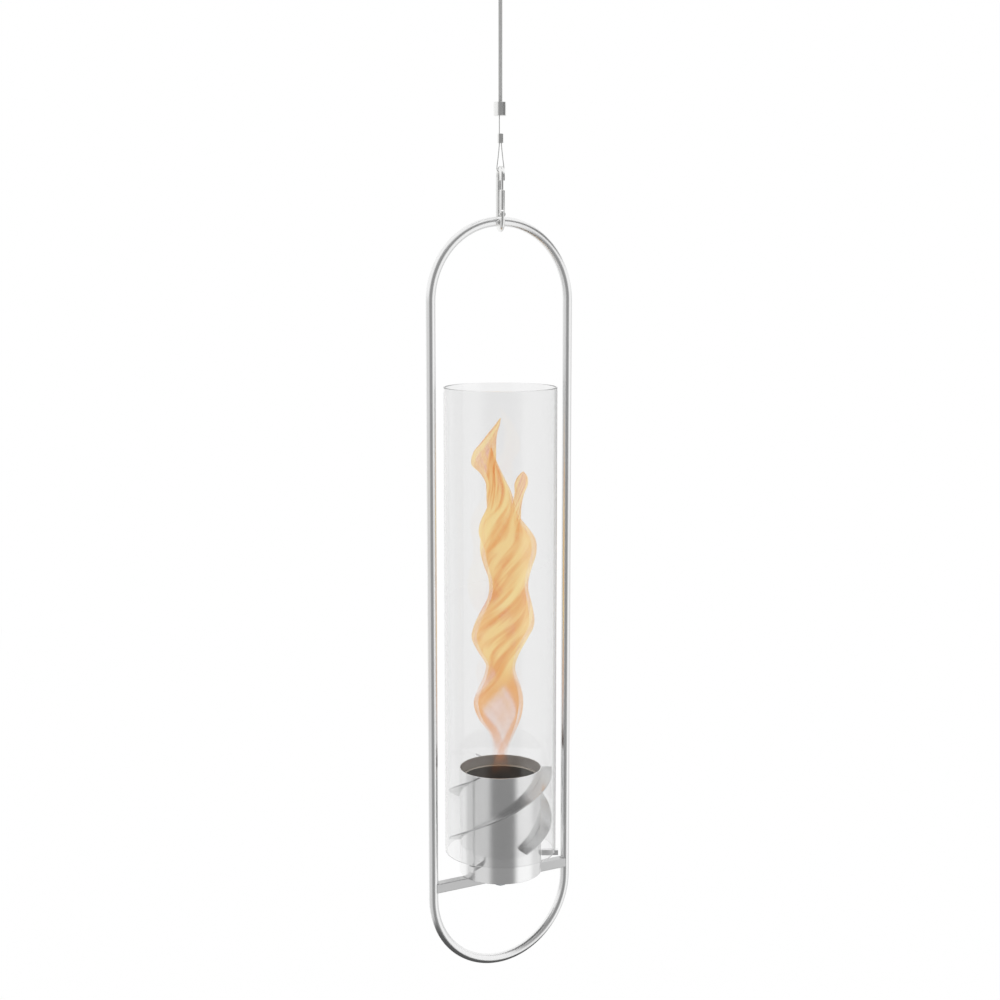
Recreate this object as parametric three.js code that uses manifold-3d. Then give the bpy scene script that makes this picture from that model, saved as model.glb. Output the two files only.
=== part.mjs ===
// Hanging fireplace: a burner cup with helical air vanes stands on a crossbar inside a tall
// round-bar ring, under a glass cylinder, and the ring hangs from the ceiling on a steel rope.
//
// Millimetres, +Z up. The origin is on the ceiling, in the middle of the ceiling plate, so all
// but the plate's screws hangs below zero. The ring lies in the XZ plane. Pieces that touch keep
// a gap of TOUCH between them.

import * as THREE from 'three';
import { mergeVertices } from 'three/addons/utils/BufferGeometryUtils.js';
import Module from 'manifold-3d';

const manifold = await Module();
manifold.setup();

// ---------------------------------------------------------------- driving dimensions
const TOUCH = 0.3;                    // gap between pieces that touch
const SEAT = 0.2;                     // gap under a bar that hangs in a bend
const THROUGH = 1;                    // how far a cutter runs past the face that it opens
const REST_AZIMUTHS = [-30, 90, 210]; // degrees round the cup, of the vanes' tops and the rests
const HOOK_AZIMUTH = -107.5;          // degrees, the side of the snap hook that has the gate
const ROPE_AZIMUTH = HOOK_AZIMUTH + 90; // the plane of the wire loop and of the rope's eye

const RING = { barRadius: 5, halfWidth: 82.5, topZ: -315.1, height: 801, arcSteps: 20, sides: 14 };
const CROSSBAR = { topZ: -1016.5, size: 10, chamfer: 0.5, copeSides: 32 };

const CUP = { radius: 44.45, wall: 1, rimZ: -899.6, floorTopZ: -1009.2, floorThickness: 2, sides: 60 };
const VANE = { outerRadius: 56, drop: 80.5, turn: 180, thickness: 1.7, steps: 36 };
const REST = { topZ: -992.8, reach: 62.9, size: 6, chamfer: 0.4 };

const GLASS = { radius: 60, wall: 2, height: 505, lip: 0.6, sides: 60 };
const CAN = { innerRadius: 39.6, wall: 0.8, beadRadius: 1.7, beadZ: -911.7, cornerRadius: 4,
  sides: 40 };
const PAD = { radius: 38.9, topZ: -946, edge: 2, sides: 40 };

const BOLT = { radius: 3, headAcross: 10, headHeight: 4, topZ: -1012, chamfer: 0.4, sides: 20 };
const NUT = { across: 10, height: 4.7, chamfer: 0.4 };
const WASHER = { radius: 6, thickness: 1.6, sides: 28 };

const HOOK = { barRadius: 2.9, bendRadius: 9, topZ: -258, noseZ: -273.6, sides: 12, bendSteps: 8,
  steps: 52 };
const LATCH = { slotWidth: 2.6, slotDepth: 3.4, stopWall: 2, tongueWidth: 1.8, rootDepth: 3.2,
  tipDepth: 1.2, catchDepth: 1.7, rootLength: 3 };
const GATE = { barRadius: 2.8, round: 1.1, topZ: -282.9, pivotZ: -308, forkSlot: 3.2, forkDepth: 4.5,
  flatThickness: 2.6, flatBelow: 4.8, flatAbove: 3, boreRadius: 1.5, boreTopZ: -289.5, boreSides: 16 };
const RIVET = { radius: 1.2, headRadius: 1.7, headHeight: 0.4, sides: 16 };
const SPRING = { radius: 1.05, wireRadius: 0.22, turns: 7, fromZ: -302.6, toZ: -290,
  stepsPerTurn: 8, sides: 5 };

const WIRE = { radius: 0.5, offset: 1.1, sides: 8, steps: 56, boreSides: 12 };
const SLEEVE = { topZ: -225.3, height: 10, width: 6.1, depth: 3.8, round: 0.5 };
const CLAMP = { radius: 6.5, topZ: -193.4, height: 14, offset: 0.6, ropeDepth: 7, wireDepth: 6,
  chamfer: 0.3, sides: 36 };
const ROPE = { radius: 2, sides: 8, steps: 60, boreSides: 16 };
const FERRULE = { topZ: -66, height: 16, width: 12.6, depth: 8, offset: 2.2, round: 0.8 };
const THIMBLE = { boreRadius: 8, ropeRadius: 11.7, flangeRadius: 12.3, halfWidth: 3.5,
  chamfer: 0.7, centreZ: -38, sides: 28 };

const CEILING_HOOK = { barRadius: 3, bendRadius: 12, bendZ: -22, tipZ: -17, sides: 10, steps: 32 };
const PLATE = { radius: 30, thickness: 4, holeCircle: 22, chamfer: 0.8, sides: 40 };
const SCREW = { radius: 2, headRadius: 4, headDepth: 2.4, headRim: 0.3, proud: 0.1, length: 34,
  tip: 5, sides: 16, azimuths: [30, 150, 270] };

// ---------------------------------------------------------------- values that follow from them
const CUP_BOTTOM_Z = CROSSBAR.topZ + TOUCH;
const GLASS_BOTTOM_Z = REST.topZ + TOUCH;
const CAN_BOTTOM_Z = CUP.floorTopZ + TOUCH;
const LOOP_BOTTOM_Z = HOOK.topZ - 2 * HOOK.barRadius - WIRE.radius - SEAT;
const HOOK_BOTTOM_Z = RING.topZ - RING.barRadius - SEAT - 2 * HOOK.barRadius;

// Both routes lie in the plane at ROPE_AZIMUTH, as [across, height]. The rope runs from the clamp
// straight up through its ferrule, round the thimble and back into the ferrule.
const ROPE_ROUTE = [
  [0, -200.1], [0, -180], [0, -160], [0, -140], [0, -120], [0, -100], [0, -84], [0, -74],
  [0, -66.3], [-1.7, -61], [-5.1, -54.6], [-8.9, -47.4], [-11.2, -41.4], [-11.5, -35.9], [-9.4, -31],
  [-5.4, -27.6], [0, -26.3], [5.4, -27.6], [9.4, -31], [11.5, -35.9], [11.2, -41.4], [9.2, -48.2],
  [6.6, -56], [5, -61.5], [4.4, -66.3], [4.4, -74], [4.4, -82.5],
];

// The wire runs from the clamp down through its sleeve, under the snap hook's bar and back up.
const WIRE_ROUTE = [
  [-1.1, -201.4], [-1.1, -209], [-1.1, -217], [-1.1, -225], [-1.1, -231], [-1.15, -236.5],
  [-1.6, -242], [-2.35, -249], [-3.15, -255.5], [-3.65, -259.5], [-3.6, -261.8], [-2.4, -263.8],
  [0, LOOP_BOTTOM_Z],
  [2.4, -263.8], [3.6, -261.8], [3.65, -259.5], [3.15, -255.5], [2.35, -249], [1.6, -242],
  [1.15, -236.5], [1.1, -231], [1.1, -225.6],
];

// ---------------------------------------------------------------- geometry helpers
const radians = (degrees) => degrees * Math.PI / 180;

function toSolid(geometry) {
  const bare = geometry.clone();
  bare.deleteAttribute('normal');
  bare.deleteAttribute('uv');
  const merged = mergeVertices(bare, 1e-4);
  return new manifold.Manifold(new manifold.Mesh({
    numProp: 3,
    vertProperties: new Float32Array(merged.attributes.position.array),
    triVerts: new Uint32Array(merged.index.array),
  }));
}

function toGeometry(solid) {
  const mesh = solid.getMesh();
  const geometry = new THREE.BufferGeometry();
  geometry.setAttribute('position', new THREE.BufferAttribute(mesh.vertProperties, 3));
  geometry.setIndex(new THREE.BufferAttribute(mesh.triVerts, 1));
  geometry.computeVertexNormals();
  return geometry;
}

// Cuts every tool out of the body.
function cut(body, ...tools) {
  let solid = toSolid(body);
  for (const tool of tools) solid = solid.subtract(toSolid(tool));
  return toGeometry(solid);
}

function join(...bodies) {
  const solids = bodies.map(toSolid);
  return toGeometry(solids.reduce((whole, next) => whole.add(next)));
}

// A cylinder or cone along Z.
function upright(bottomRadius, topRadius, bottomZ, topZ, sides) {
  const geometry = new THREE.CylinderGeometry(topRadius, bottomRadius, topZ - bottomZ, sides);
  geometry.rotateX(Math.PI / 2);
  geometry.translate(0, 0, (bottomZ + topZ) / 2);
  return geometry;
}

// A closed profile of [radius, height] points, counter-clockwise, turned about Z.
function revolved(profile, sides) {
  const points = profile.map(([radius, z]) => new THREE.Vector2(radius, z));
  const geometry = new THREE.LatheGeometry([...points, points[0].clone()], sides);
  geometry.rotateX(Math.PI / 2);
  return geometry;
}

function box(sizeX, sizeY, sizeZ, x, y, z) {
  return new THREE.BoxGeometry(sizeX, sizeY, sizeZ).translate(x, y, z);
}

// Points [x, y] on an arc, both ends included. Angles are in degrees.
function arc(centreX, centreY, radius, from, to, steps) {
  const points = [];
  for (let step = 0; step <= steps; step += 1) {
    const angle = radians(from + (to - from) * step / steps);
    points.push([centreX + radius * Math.cos(angle), centreY + radius * Math.sin(angle)]);
  }
  return points;
}

// The corners of a regular polygon about the origin.
const ringPoints = (radius, sides) => arc(0, 0, radius, 0, 360 - 360 / sides, sides - 1);

function outline(points) {
  return new THREE.Shape(points.map(([x, y]) => new THREE.Vector2(x, y)));
}

// A slot shape of that overall size, with round ends.
function oval(width, depth, steps = 8) {
  const straight = (width - depth) / 2;
  return outline([
    ...arc(straight, 0, depth / 2, -90, 90, steps),
    ...arc(-straight, 0, depth / 2, 90, 270, steps),
  ]);
}

// An upright prism with edges rounded off at both ends.
function prism(shape, bottomZ, topZ, edge = 0) {
  const geometry = new THREE.ExtrudeGeometry(shape, {
    depth: topZ - bottomZ - 2 * edge,
    bevelEnabled: edge > 0,
    bevelThickness: edge,
    bevelSize: edge,
    bevelOffset: -edge,
    bevelSegments: 2,
    curveSegments: 1,
  });
  geometry.translate(0, 0, bottomZ + edge);
  return geometry;
}

// A square bar along X with its long edges chamfered.
function squareBar(fromX, toX, size, chamfer) {
  const half = size / 2;
  const inner = half - chamfer;
  const section = outline([[inner, -half], [half, -inner], [half, inner], [inner, half],
    [-inner, half], [-half, inner], [-half, -inner], [-inner, -half]]);
  const geometry = new THREE.ExtrudeGeometry(section, { depth: toX - fromX, bevelEnabled: false });
  geometry.rotateY(Math.PI / 2);
  geometry.translate(fromX, 0, 0);
  return geometry;
}

// A round bar along [across, height] points, in the XZ plane.
function bar(points, radius, sides, steps) {
  const path = new THREE.CatmullRomCurve3(
    points.map(([across, z]) => new THREE.Vector3(across, 0, z)), false, 'centripetal');
  path.arcLengthDivisions = 800;
  return new THREE.ExtrudeGeometry(outline(ringPoints(radius, sides)), {
    steps, extrudePath: path, bevelEnabled: false, curveSegments: 1,
  });
}

// Joins sections of equal point counts, each counter-clockwise about the way the body runs. A
// looped body has no ends to close.
function loft(sections, looped) {
  const count = sections[0].length;
  const spans = looped ? sections.length : sections.length - 1;
  const index = [];
  for (let span = 0; span < spans; span += 1) {
    const here = span * count;
    const next = ((span + 1) % sections.length) * count;
    for (let i = 0; i < count; i += 1) {
      const j = (i + 1) % count;
      index.push(here + i, next + j, next + i, here + i, here + j, next + j);
    }
  }
  const last = (sections.length - 1) * count;
  for (let i = 1; i < count - 1 && !looped; i += 1) {
    index.push(0, i + 1, i, last, last + i, last + i + 1);
  }
  const geometry = new THREE.BufferGeometry();
  const positions = sections.flat().flatMap((point) => point.toArray());
  geometry.setAttribute('position', new THREE.Float32BufferAttribute(positions, 3));
  geometry.setIndex(index);
  geometry.computeVertexNormals();
  return geometry;
}

// ---------------------------------------------------------------- finishes
const finish = (color, roughness, metalness) => () => (
  new THREE.MeshStandardMaterial({ color, roughness, metalness }));
const BRUSHED_STEEL = finish('#b9bbbd', 0.32, 1);
const BRIGHT_STEEL = finish('#d0d2d4', 0.18, 1);
const ROPE_STEEL = finish('#a6a6a6', 0.5, 0.9);
const ZINC = finish('#c4c6c8', 0.4, 1);
const FIBRE = finish('#8c857b', 0.95, 0);
const CLEAR_GLASS = () => new THREE.MeshStandardMaterial({
  color: '#eef2f2', roughness: 0.03, metalness: 0, transparent: true, opacity: 0.25,
});

const fireplace = new THREE.Group();

function add(name, geometry, material, parent = fireplace) {
  const mesh = new THREE.Mesh(geometry, material());
  mesh.name = name;
  parent.add(mesh);
}

// A group turned about Z, whose own X axis points to that azimuth.
function turned(azimuth) {
  const group = new THREE.Group();
  group.rotation.z = radians(azimuth);
  fireplace.add(group);
  return group;
}

// ---------------------------------------------------------------- ring and crossbar
// The ring is one round bar bent to two half circles with straight legs between them.
function ringBar() {
  const bottomCentreZ = RING.topZ - RING.height + RING.halfWidth;
  const topCentreZ = RING.topZ - RING.halfWidth;
  const sections = [[0, topCentreZ], [180, bottomCentreZ]].flatMap(([start, centreZ]) => (
    arc(0, 0, 1, start, start + 180, RING.arcSteps).map(([x, z]) => (
      ringPoints(RING.barRadius, RING.sides).map(([out, side]) => (
        new THREE.Vector3(
          x * (RING.halfWidth + out),
          side,
          centreZ + z * (RING.halfWidth + out),
        )))
    ))));
  return loft(sections, true);
}

// The crossbar's ends are coped round the ring's legs, and the bolt goes through its middle.
function crossbar() {
  const { topZ, size, chamfer, copeSides } = CROSSBAR;
  const reach = RING.halfWidth;
  const square = squareBar(-reach, reach, size, chamfer).translate(0, 0, topZ - size / 2);
  const cutter = (x, radius, sides) => (
    upright(radius, radius, topZ - size - THROUGH, topZ + THROUGH, sides).translate(x, 0, 0));
  const cope = RING.barRadius + TOUCH;
  return cut(
    square,
    cutter(0, BOLT.radius + TOUCH, BOLT.sides),
    cutter(-reach, cope, copeSides),
    cutter(reach, cope, copeSides),
  );
}

// ---------------------------------------------------------------- cup, vanes and rests
function cupShell() {
  const inner = CUP.radius - CUP.wall;
  const edge = CUP.wall / 4;
  return revolved([
    [inner, CUP_BOTTOM_Z], [CUP.radius, CUP_BOTTOM_Z], [CUP.radius, CUP.rimZ - edge],
    [CUP.radius - edge, CUP.rimZ], [inner + edge, CUP.rimZ], [inner, CUP.rimZ - edge],
  ], CUP.sides);
}

function cupFloor() {
  const radius = CUP.radius - CUP.wall - TOUCH;
  return upright(radius, radius, CUP.floorTopZ - CUP.floorThickness, CUP.floorTopZ, CUP.sides);
}

// An air vane is a thin sheet whose edge climbs round the cup at a steady rate, with every line
// across it pointing at the cup's axis. It is drawn with its top at azimuth 0.
function airVane() {
  const inner = CUP.radius + TOUCH;
  const sections = [];
  for (let step = 0; step <= VANE.steps; step += 1) {
    const share = step / VANE.steps;
    const angle = radians(-VANE.turn * share);
    const topZ = CUP.rimZ - VANE.drop * share;
    const corner = (radius, z) => (
      new THREE.Vector3(radius * Math.cos(angle), radius * Math.sin(angle), z));
    sections.push([
      corner(inner, topZ - VANE.thickness), corner(VANE.outerRadius, topZ - VANE.thickness),
      corner(VANE.outerRadius, topZ), corner(inner, topZ),
    ]);
  }
  return loft(sections, false);
}

// A rest is a square peg that stands out of the cup and carries the glass.
function glassRest() {
  const peg = squareBar(CUP.radius + TOUCH, REST.reach, REST.size, REST.chamfer);
  return peg.translate(0, 0, REST.topZ - REST.size / 2);
}

// ---------------------------------------------------------------- bolt under the cup
const hexagon = (across) => outline(ringPoints(across / Math.sqrt(3), 6));

function fixingBolt() {
  const headTopZ = CROSSBAR.topZ - CROSSBAR.size - WASHER.thickness - 2 * TOUCH;
  const head = prism(hexagon(BOLT.headAcross), headTopZ - BOLT.headHeight, headTopZ, BOLT.chamfer);
  return join(head, upright(BOLT.radius, BOLT.radius, headTopZ - THROUGH, BOLT.topZ, BOLT.sides));
}

function boltWasher() {
  const topZ = CROSSBAR.topZ - CROSSBAR.size - TOUCH;
  const bottomZ = topZ - WASHER.thickness;
  const bore = BOLT.radius + TOUCH;
  return revolved([
    [bore, bottomZ], [WASHER.radius, bottomZ], [WASHER.radius, topZ], [bore, topZ],
  ], WASHER.sides);
}

function cupNut() {
  const bottomZ = CROSSBAR.topZ + TOUCH;
  const topZ = bottomZ + NUT.height;
  const bore = BOLT.radius + TOUCH;
  return cut(
    prism(hexagon(NUT.across), bottomZ, topZ, NUT.chamfer),
    upright(bore, bore, bottomZ - THROUGH, topZ + THROUGH, BOLT.sides),
  );
}

// ---------------------------------------------------------------- glass and burner
function glassCylinder() {
  const topZ = GLASS_BOTTOM_Z + GLASS.height;
  const inner = GLASS.radius - GLASS.wall;
  return revolved([
    [inner, GLASS_BOTTOM_Z + GLASS.lip], [inner + GLASS.lip, GLASS_BOTTOM_Z],
    [GLASS.radius - GLASS.lip, GLASS_BOTTOM_Z], [GLASS.radius, GLASS_BOTTOM_Z + GLASS.lip],
    [GLASS.radius, topZ - GLASS.lip], [GLASS.radius - GLASS.lip, topZ],
    [inner + GLASS.lip, topZ], [inner, topZ - GLASS.lip],
  ], GLASS.sides);
}

// The can is one drawn sheet: a floor with a round corner, a wall, and a rim rolled outwards.
function burnerCan() {
  const outer = CAN.innerRadius + CAN.wall;
  const floorZ = CAN_BOTTOM_Z + CAN.wall;
  const corner = CAN.cornerRadius;
  const beadAxis = CAN.innerRadius + CAN.beadRadius;
  return revolved([
    [0, CAN_BOTTOM_Z],
    ...arc(outer - corner, CAN_BOTTOM_Z + corner, corner, -90, 0, 4),
    ...arc(beadAxis, CAN.beadZ, CAN.beadRadius, -122, 180, 8),
    ...arc(outer - corner, CAN_BOTTOM_Z + corner, corner - CAN.wall, 0, -90, 4),
    [0, floorZ],
  ], CAN.sides);
}

function fibrePad() {
  const bottomZ = CAN_BOTTOM_Z + CAN.wall + TOUCH;
  const edge = PAD.edge;
  return revolved([
    [0, bottomZ], [PAD.radius - 2 * edge, bottomZ], [PAD.radius, bottomZ + 2 * edge],
    [PAD.radius, PAD.topZ - edge], [PAD.radius - edge, PAD.topZ], [0, PAD.topZ],
  ], PAD.sides);
}

// ---------------------------------------------------------------- snap hook
// The hook's own X axis points to its gate side. Its bar runs from the nose over the top bend,
// down the back, round the bottom bend and up to the eye that carries the gate.
function snapHook() {
  const { barRadius, bendRadius } = HOOK;
  const topCentreZ = HOOK.topZ - barRadius - bendRadius;
  const bottomCentreZ = HOOK_BOTTOM_Z + barRadius + bendRadius;
  const eyeTopZ = GATE.pivotZ + GATE.flatAbove;
  const eyeBottomZ = GATE.pivotZ - GATE.flatBelow;
  const loop = bar([
    [bendRadius, HOOK.noseZ], ...arc(0, topCentreZ, bendRadius, 0, 180, HOOK.bendSteps),
    [-bendRadius, -284], [-bendRadius, -299],
    ...arc(0, bottomCentreZ, bendRadius, 180, 360, HOOK.bendSteps),
    [bendRadius, eyeTopZ],
  ], barRadius, HOOK.sides, HOOK.steps);
  const cheek = (side) => box(3 * barRadius, barRadius, eyeTopZ + THROUGH - eyeBottomZ, bendRadius,
    side * (GATE.flatThickness + barRadius) / 2, (eyeTopZ + THROUGH + eyeBottomZ) / 2);
  const slotReach = bendRadius + barRadius - LATCH.stopWall;
  const slot = box(slotReach, LATCH.slotWidth, 2 * LATCH.slotDepth, slotReach / 2, 0, HOOK.noseZ);
  return cut(loop, cheek(1), cheek(-1), slot, rivetHole());
}

// A hole across the hook's plane, on the gate's pivot.
function rivetHole() {
  const bore = RIVET.radius + TOUCH;
  return new THREE.CylinderGeometry(bore, bore, 4 * HOOK.barRadius, RIVET.sides)
    .translate(HOOK.bendRadius, 0, GATE.pivotZ);
}

// The gate's tongue closes the mouth and stops against the outer wall of the nose's slot. Its inner
// side slants out to the tip, so the gate opens by 23 degrees before it meets the hook's back, and
// the mouth is then 10 mm wide.
function gateTongue() {
  const outerX = HOOK.bendRadius + HOOK.barRadius - LATCH.stopWall - TOUCH;
  const rootZ = GATE.topZ - LATCH.rootLength;
  const tipZ = HOOK.noseZ + LATCH.catchDepth;
  const side = outline([
    [outerX - LATCH.rootDepth, rootZ], [outerX, rootZ], [outerX, tipZ],
    [outerX - LATCH.tipDepth, tipZ],
  ]);
  return new THREE.ExtrudeGeometry(side, { depth: LATCH.tongueWidth, bevelEnabled: false })
    .rotateX(Math.PI / 2)
    .translate(0, LATCH.tongueWidth / 2, 0);
}

// The gate is a round bar with a fork at its pivot, a bore for its spring and its tongue.
function hookGate() {
  const { barRadius, round, pivotZ, topZ, forkSlot, forkDepth, boreRadius, boreTopZ, boreSides } = GATE;
  const x = HOOK.bendRadius;
  const stem = revolved([
    [0, pivotZ - barRadius], [barRadius - round, pivotZ - barRadius],
    [barRadius, pivotZ - barRadius + round], [barRadius, topZ - round],
    [barRadius - round, topZ], [0, topZ],
  ], HOOK.sides).translate(x, 0, 0);
  const fork = box(3 * barRadius, forkSlot, 2 * forkDepth, x, 0, pivotZ);
  const bore = upright(boreRadius, boreRadius, pivotZ, boreTopZ, boreSides).translate(x, 0, 0);
  return cut(join(stem, gateTongue()), fork, bore, rivetHole());
}

function gateRivet() {
  const half = GATE.barRadius + TOUCH / 2;
  const { radius, headRadius, headHeight, sides } = RIVET;
  return revolved([
    [0, -half - headHeight], [headRadius - headHeight, -half - headHeight], [headRadius, -half],
    [radius, -half], [radius, half], [headRadius, half],
    [headRadius - headHeight, half + headHeight], [0, half + headHeight],
  ], sides).rotateX(Math.PI / 2).translate(HOOK.bendRadius, 0, GATE.pivotZ);
}

// One unbroken wire wound to a helix, which pushes the gate shut from its bore.
function gateSpring() {
  const steps = SPRING.turns * SPRING.stepsPerTurn;
  const pitch = (SPRING.toZ - SPRING.fromZ) / SPRING.turns;
  const climb = new THREE.Vector2(2 * Math.PI * SPRING.radius, pitch).normalize();
  const sections = [];
  for (let step = 0; step <= steps; step += 1) {
    const angle = 2 * Math.PI * SPRING.turns * step / steps;
    const out = new THREE.Vector3(Math.cos(angle), Math.sin(angle), 0);
    const along = new THREE.Vector3(-Math.sin(angle) * climb.x, Math.cos(angle) * climb.x, climb.y);
    const up = new THREE.Vector3().crossVectors(along, out);
    const centre = out.clone().multiplyScalar(SPRING.radius);
    centre.x += HOOK.bendRadius;
    centre.z = SPRING.fromZ + pitch * SPRING.turns * step / steps;
    sections.push(ringPoints(SPRING.wireRadius, SPRING.sides).map(([a, b]) => (
      centre.clone().addScaledVector(out, a).addScaledVector(up, b))));
  }
  return loft(sections, false);
}

// ---------------------------------------------------------------- wire, sleeve and clamp
const hangerWire = () => bar(WIRE_ROUTE, WIRE.radius, WIRE.sides, WIRE.steps);

function crimpSleeve() {
  const { topZ, height, width, depth, round } = SLEEVE;
  const bottomZ = topZ - height;
  const body = prism(oval(width, depth), bottomZ, topZ, round);
  const bore = WIRE.radius + TOUCH;
  const bores = [-WIRE.offset, WIRE.offset].map((x) => (
    upright(bore, bore, bottomZ - THROUGH, topZ + THROUGH, WIRE.boreSides).translate(x, 0, 0)));
  return cut(body, ...bores);
}

// The clamp holds the rope from above in one blind bore and the wire from below in another.
function ropeClamp() {
  const { radius, topZ, height, chamfer } = CLAMP;
  const bottomZ = topZ - height;
  const body = revolved([
    [0, bottomZ], [radius - chamfer, bottomZ], [radius, bottomZ + chamfer],
    [radius, topZ - chamfer], [radius - chamfer, topZ], [0, topZ],
  ], CLAMP.sides).translate(-CLAMP.offset, 0, 0);
  const ropeBore = ROPE.radius + TOUCH;
  const wireBore = WIRE.radius + TOUCH;
  return cut(
    body,
    upright(ropeBore, ropeBore, topZ - CLAMP.ropeDepth, topZ + THROUGH, ROPE.boreSides),
    upright(wireBore, wireBore, bottomZ - THROUGH, bottomZ + CLAMP.wireDepth + TOUCH, WIRE.boreSides)
      .translate(-WIRE.offset, 0, 0),
  );
}

// ---------------------------------------------------------------- rope, ferrule and thimble
const suspensionRope = () => bar(ROPE_ROUTE, ROPE.radius, ROPE.sides, ROPE.steps);

function ropeFerrule() {
  const { topZ, height, width, depth, offset, round } = FERRULE;
  const bottomZ = topZ - height;
  const across = 2 * (ROPE.radius + TOUCH);
  const bore = prism(oval(2 * offset + across, across), bottomZ - THROUGH, topZ + THROUGH);
  return cut(prism(oval(width, depth), bottomZ, topZ, round), bore).translate(offset, 0, 0);
}

// A round thimble, grooved for the rope. Its axis lies across the rope's plane.
function ropeThimble() {
  const { boreRadius, ropeRadius, flangeRadius, halfWidth, chamfer } = THIMBLE;
  return revolved([
    [boreRadius, halfWidth - chamfer], [boreRadius, chamfer - halfWidth],
    [boreRadius + chamfer, -halfWidth], [flangeRadius - chamfer, -halfWidth],
    [flangeRadius, chamfer - halfWidth],
    ...arc(ropeRadius, 0, ROPE.radius + TOUCH, 270, 90, 6),
    [flangeRadius, halfWidth - chamfer], [flangeRadius - chamfer, halfWidth],
    [boreRadius + chamfer, halfWidth],
  ], THIMBLE.sides).rotateX(Math.PI / 2).translate(0, 0, THIMBLE.centreZ);
}

// ---------------------------------------------------------------- ceiling fitting
// An open hook whose bend passes through the thimble. Its own X axis points to its tip.
function ceilingHook() {
  const { bendRadius, bendZ, tipZ, barRadius, sides, steps } = CEILING_HOOK;
  return bar([
    [0, -PLATE.thickness - TOUCH], [0, -6], [-3.2, -9.6],
    ...arc(0, bendZ, bendRadius, 140, 360, 11),
    [bendRadius, tipZ],
  ], barRadius, sides, steps);
}

// Places a tool or a screw on one of the plate's screw holes.
function atScrew(geometry, azimuth) {
  const angle = radians(azimuth);
  return geometry.translate(PLATE.holeCircle * Math.cos(angle), PLATE.holeCircle * Math.sin(angle), 0);
}

function ceilingPlate() {
  const { radius, thickness, chamfer } = PLATE;
  const disc = revolved([
    [0, -thickness], [radius - chamfer, -thickness], [radius, chamfer - thickness], [radius, 0],
    [0, 0],
  ], PLATE.sides);
  const hole = SCREW.radius + TOUCH;
  const sink = SCREW.headRadius + 2 * TOUCH;
  const sinkTopZ = SCREW.headDepth - thickness + TOUCH / 2;
  const tools = SCREW.azimuths.flatMap((azimuth) => [
    atScrew(upright(hole, hole, -thickness - THROUGH, THROUGH, SCREW.sides), azimuth),
    atScrew(upright(sink, hole, -thickness - TOUCH, sinkTopZ, SCREW.sides), azimuth),
  ]);
  return cut(disc, ...tools);
}

function ceilingScrew(azimuth) {
  const { radius, headRadius, headDepth, headRim, proud, length, tip, sides } = SCREW;
  const faceZ = proud - PLATE.thickness;
  const tipZ = faceZ + length;
  return atScrew(revolved([
    [0, faceZ], [headRadius - headRim, faceZ], [headRadius, faceZ + headRim],
    [radius, faceZ + headDepth], [radius, tipZ - tip], [0, tipZ],
  ], sides), azimuth);
}

// ---------------------------------------------------------------- assembly
const ropePlane = turned(ROPE_AZIMUTH);
const hookPlane = turned(HOOK_AZIMUTH);
const ceilingHookPlane = turned(ROPE_AZIMUTH + 90);

add('ceiling_plate', ceilingPlate(), ZINC);
SCREW.azimuths.forEach((azimuth, place) => (
  add(`ceiling_screw_${place + 1}`, ceilingScrew(azimuth), ZINC)));
add('ceiling_hook', ceilingHook(), ZINC, ceilingHookPlane);

add('suspension_rope', suspensionRope(), ROPE_STEEL, ropePlane);
add('rope_thimble', ropeThimble(), ZINC, ropePlane);
add('rope_ferrule', ropeFerrule(), ZINC, ropePlane);
add('rope_clamp', ropeClamp(), BRIGHT_STEEL, ropePlane);

add('hanger_wire', hangerWire(), ROPE_STEEL, ropePlane);
add('crimp_sleeve', crimpSleeve(), BRIGHT_STEEL, ropePlane);

add('snap_hook', snapHook(), BRIGHT_STEEL, hookPlane);
add('gate_rivet', gateRivet(), BRIGHT_STEEL, hookPlane);
add('hook_gate', hookGate(), BRIGHT_STEEL, hookPlane);
add('gate_spring', gateSpring(), BRIGHT_STEEL, hookPlane);

add('ring_frame', ringBar(), BRUSHED_STEEL);
add('crossbar', crossbar(), BRUSHED_STEEL);
add('cup_shell', cupShell(), BRUSHED_STEEL);
add('cup_floor', cupFloor(), BRUSHED_STEEL);
REST_AZIMUTHS.forEach((azimuth, place) => {
  const sector = turned(azimuth);
  add(`air_vane_${place + 1}`, airVane(), BRUSHED_STEEL, sector);
  add(`glass_rest_${place + 1}`, glassRest(), BRUSHED_STEEL, sector);
});
add('fixing_bolt', fixingBolt(), ZINC);
add('bolt_washer', boltWasher(), ZINC);
add('cup_nut', cupNut(), ZINC);

add('glass_cylinder', glassCylinder(), CLEAR_GLASS);
add('burner_can', burnerCan(), BRIGHT_STEEL);
add('fibre_pad', fibrePad(), FIBRE);

export default fireplace;
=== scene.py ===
"""Looks of a hanging fireplace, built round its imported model: steel, glass, rope and fire.

Sizes below are in millimetres, and meshes are made in metres in the model's own frame: the
origin is on the ceiling, +X runs along the crossbar and +Z is up.
"""

import logging
import math
from collections.abc import Callable, Iterable, Sequence
from dataclasses import dataclass
from enum import Enum

import bmesh
import bpy
from mathutils import Matrix, Vector


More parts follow.
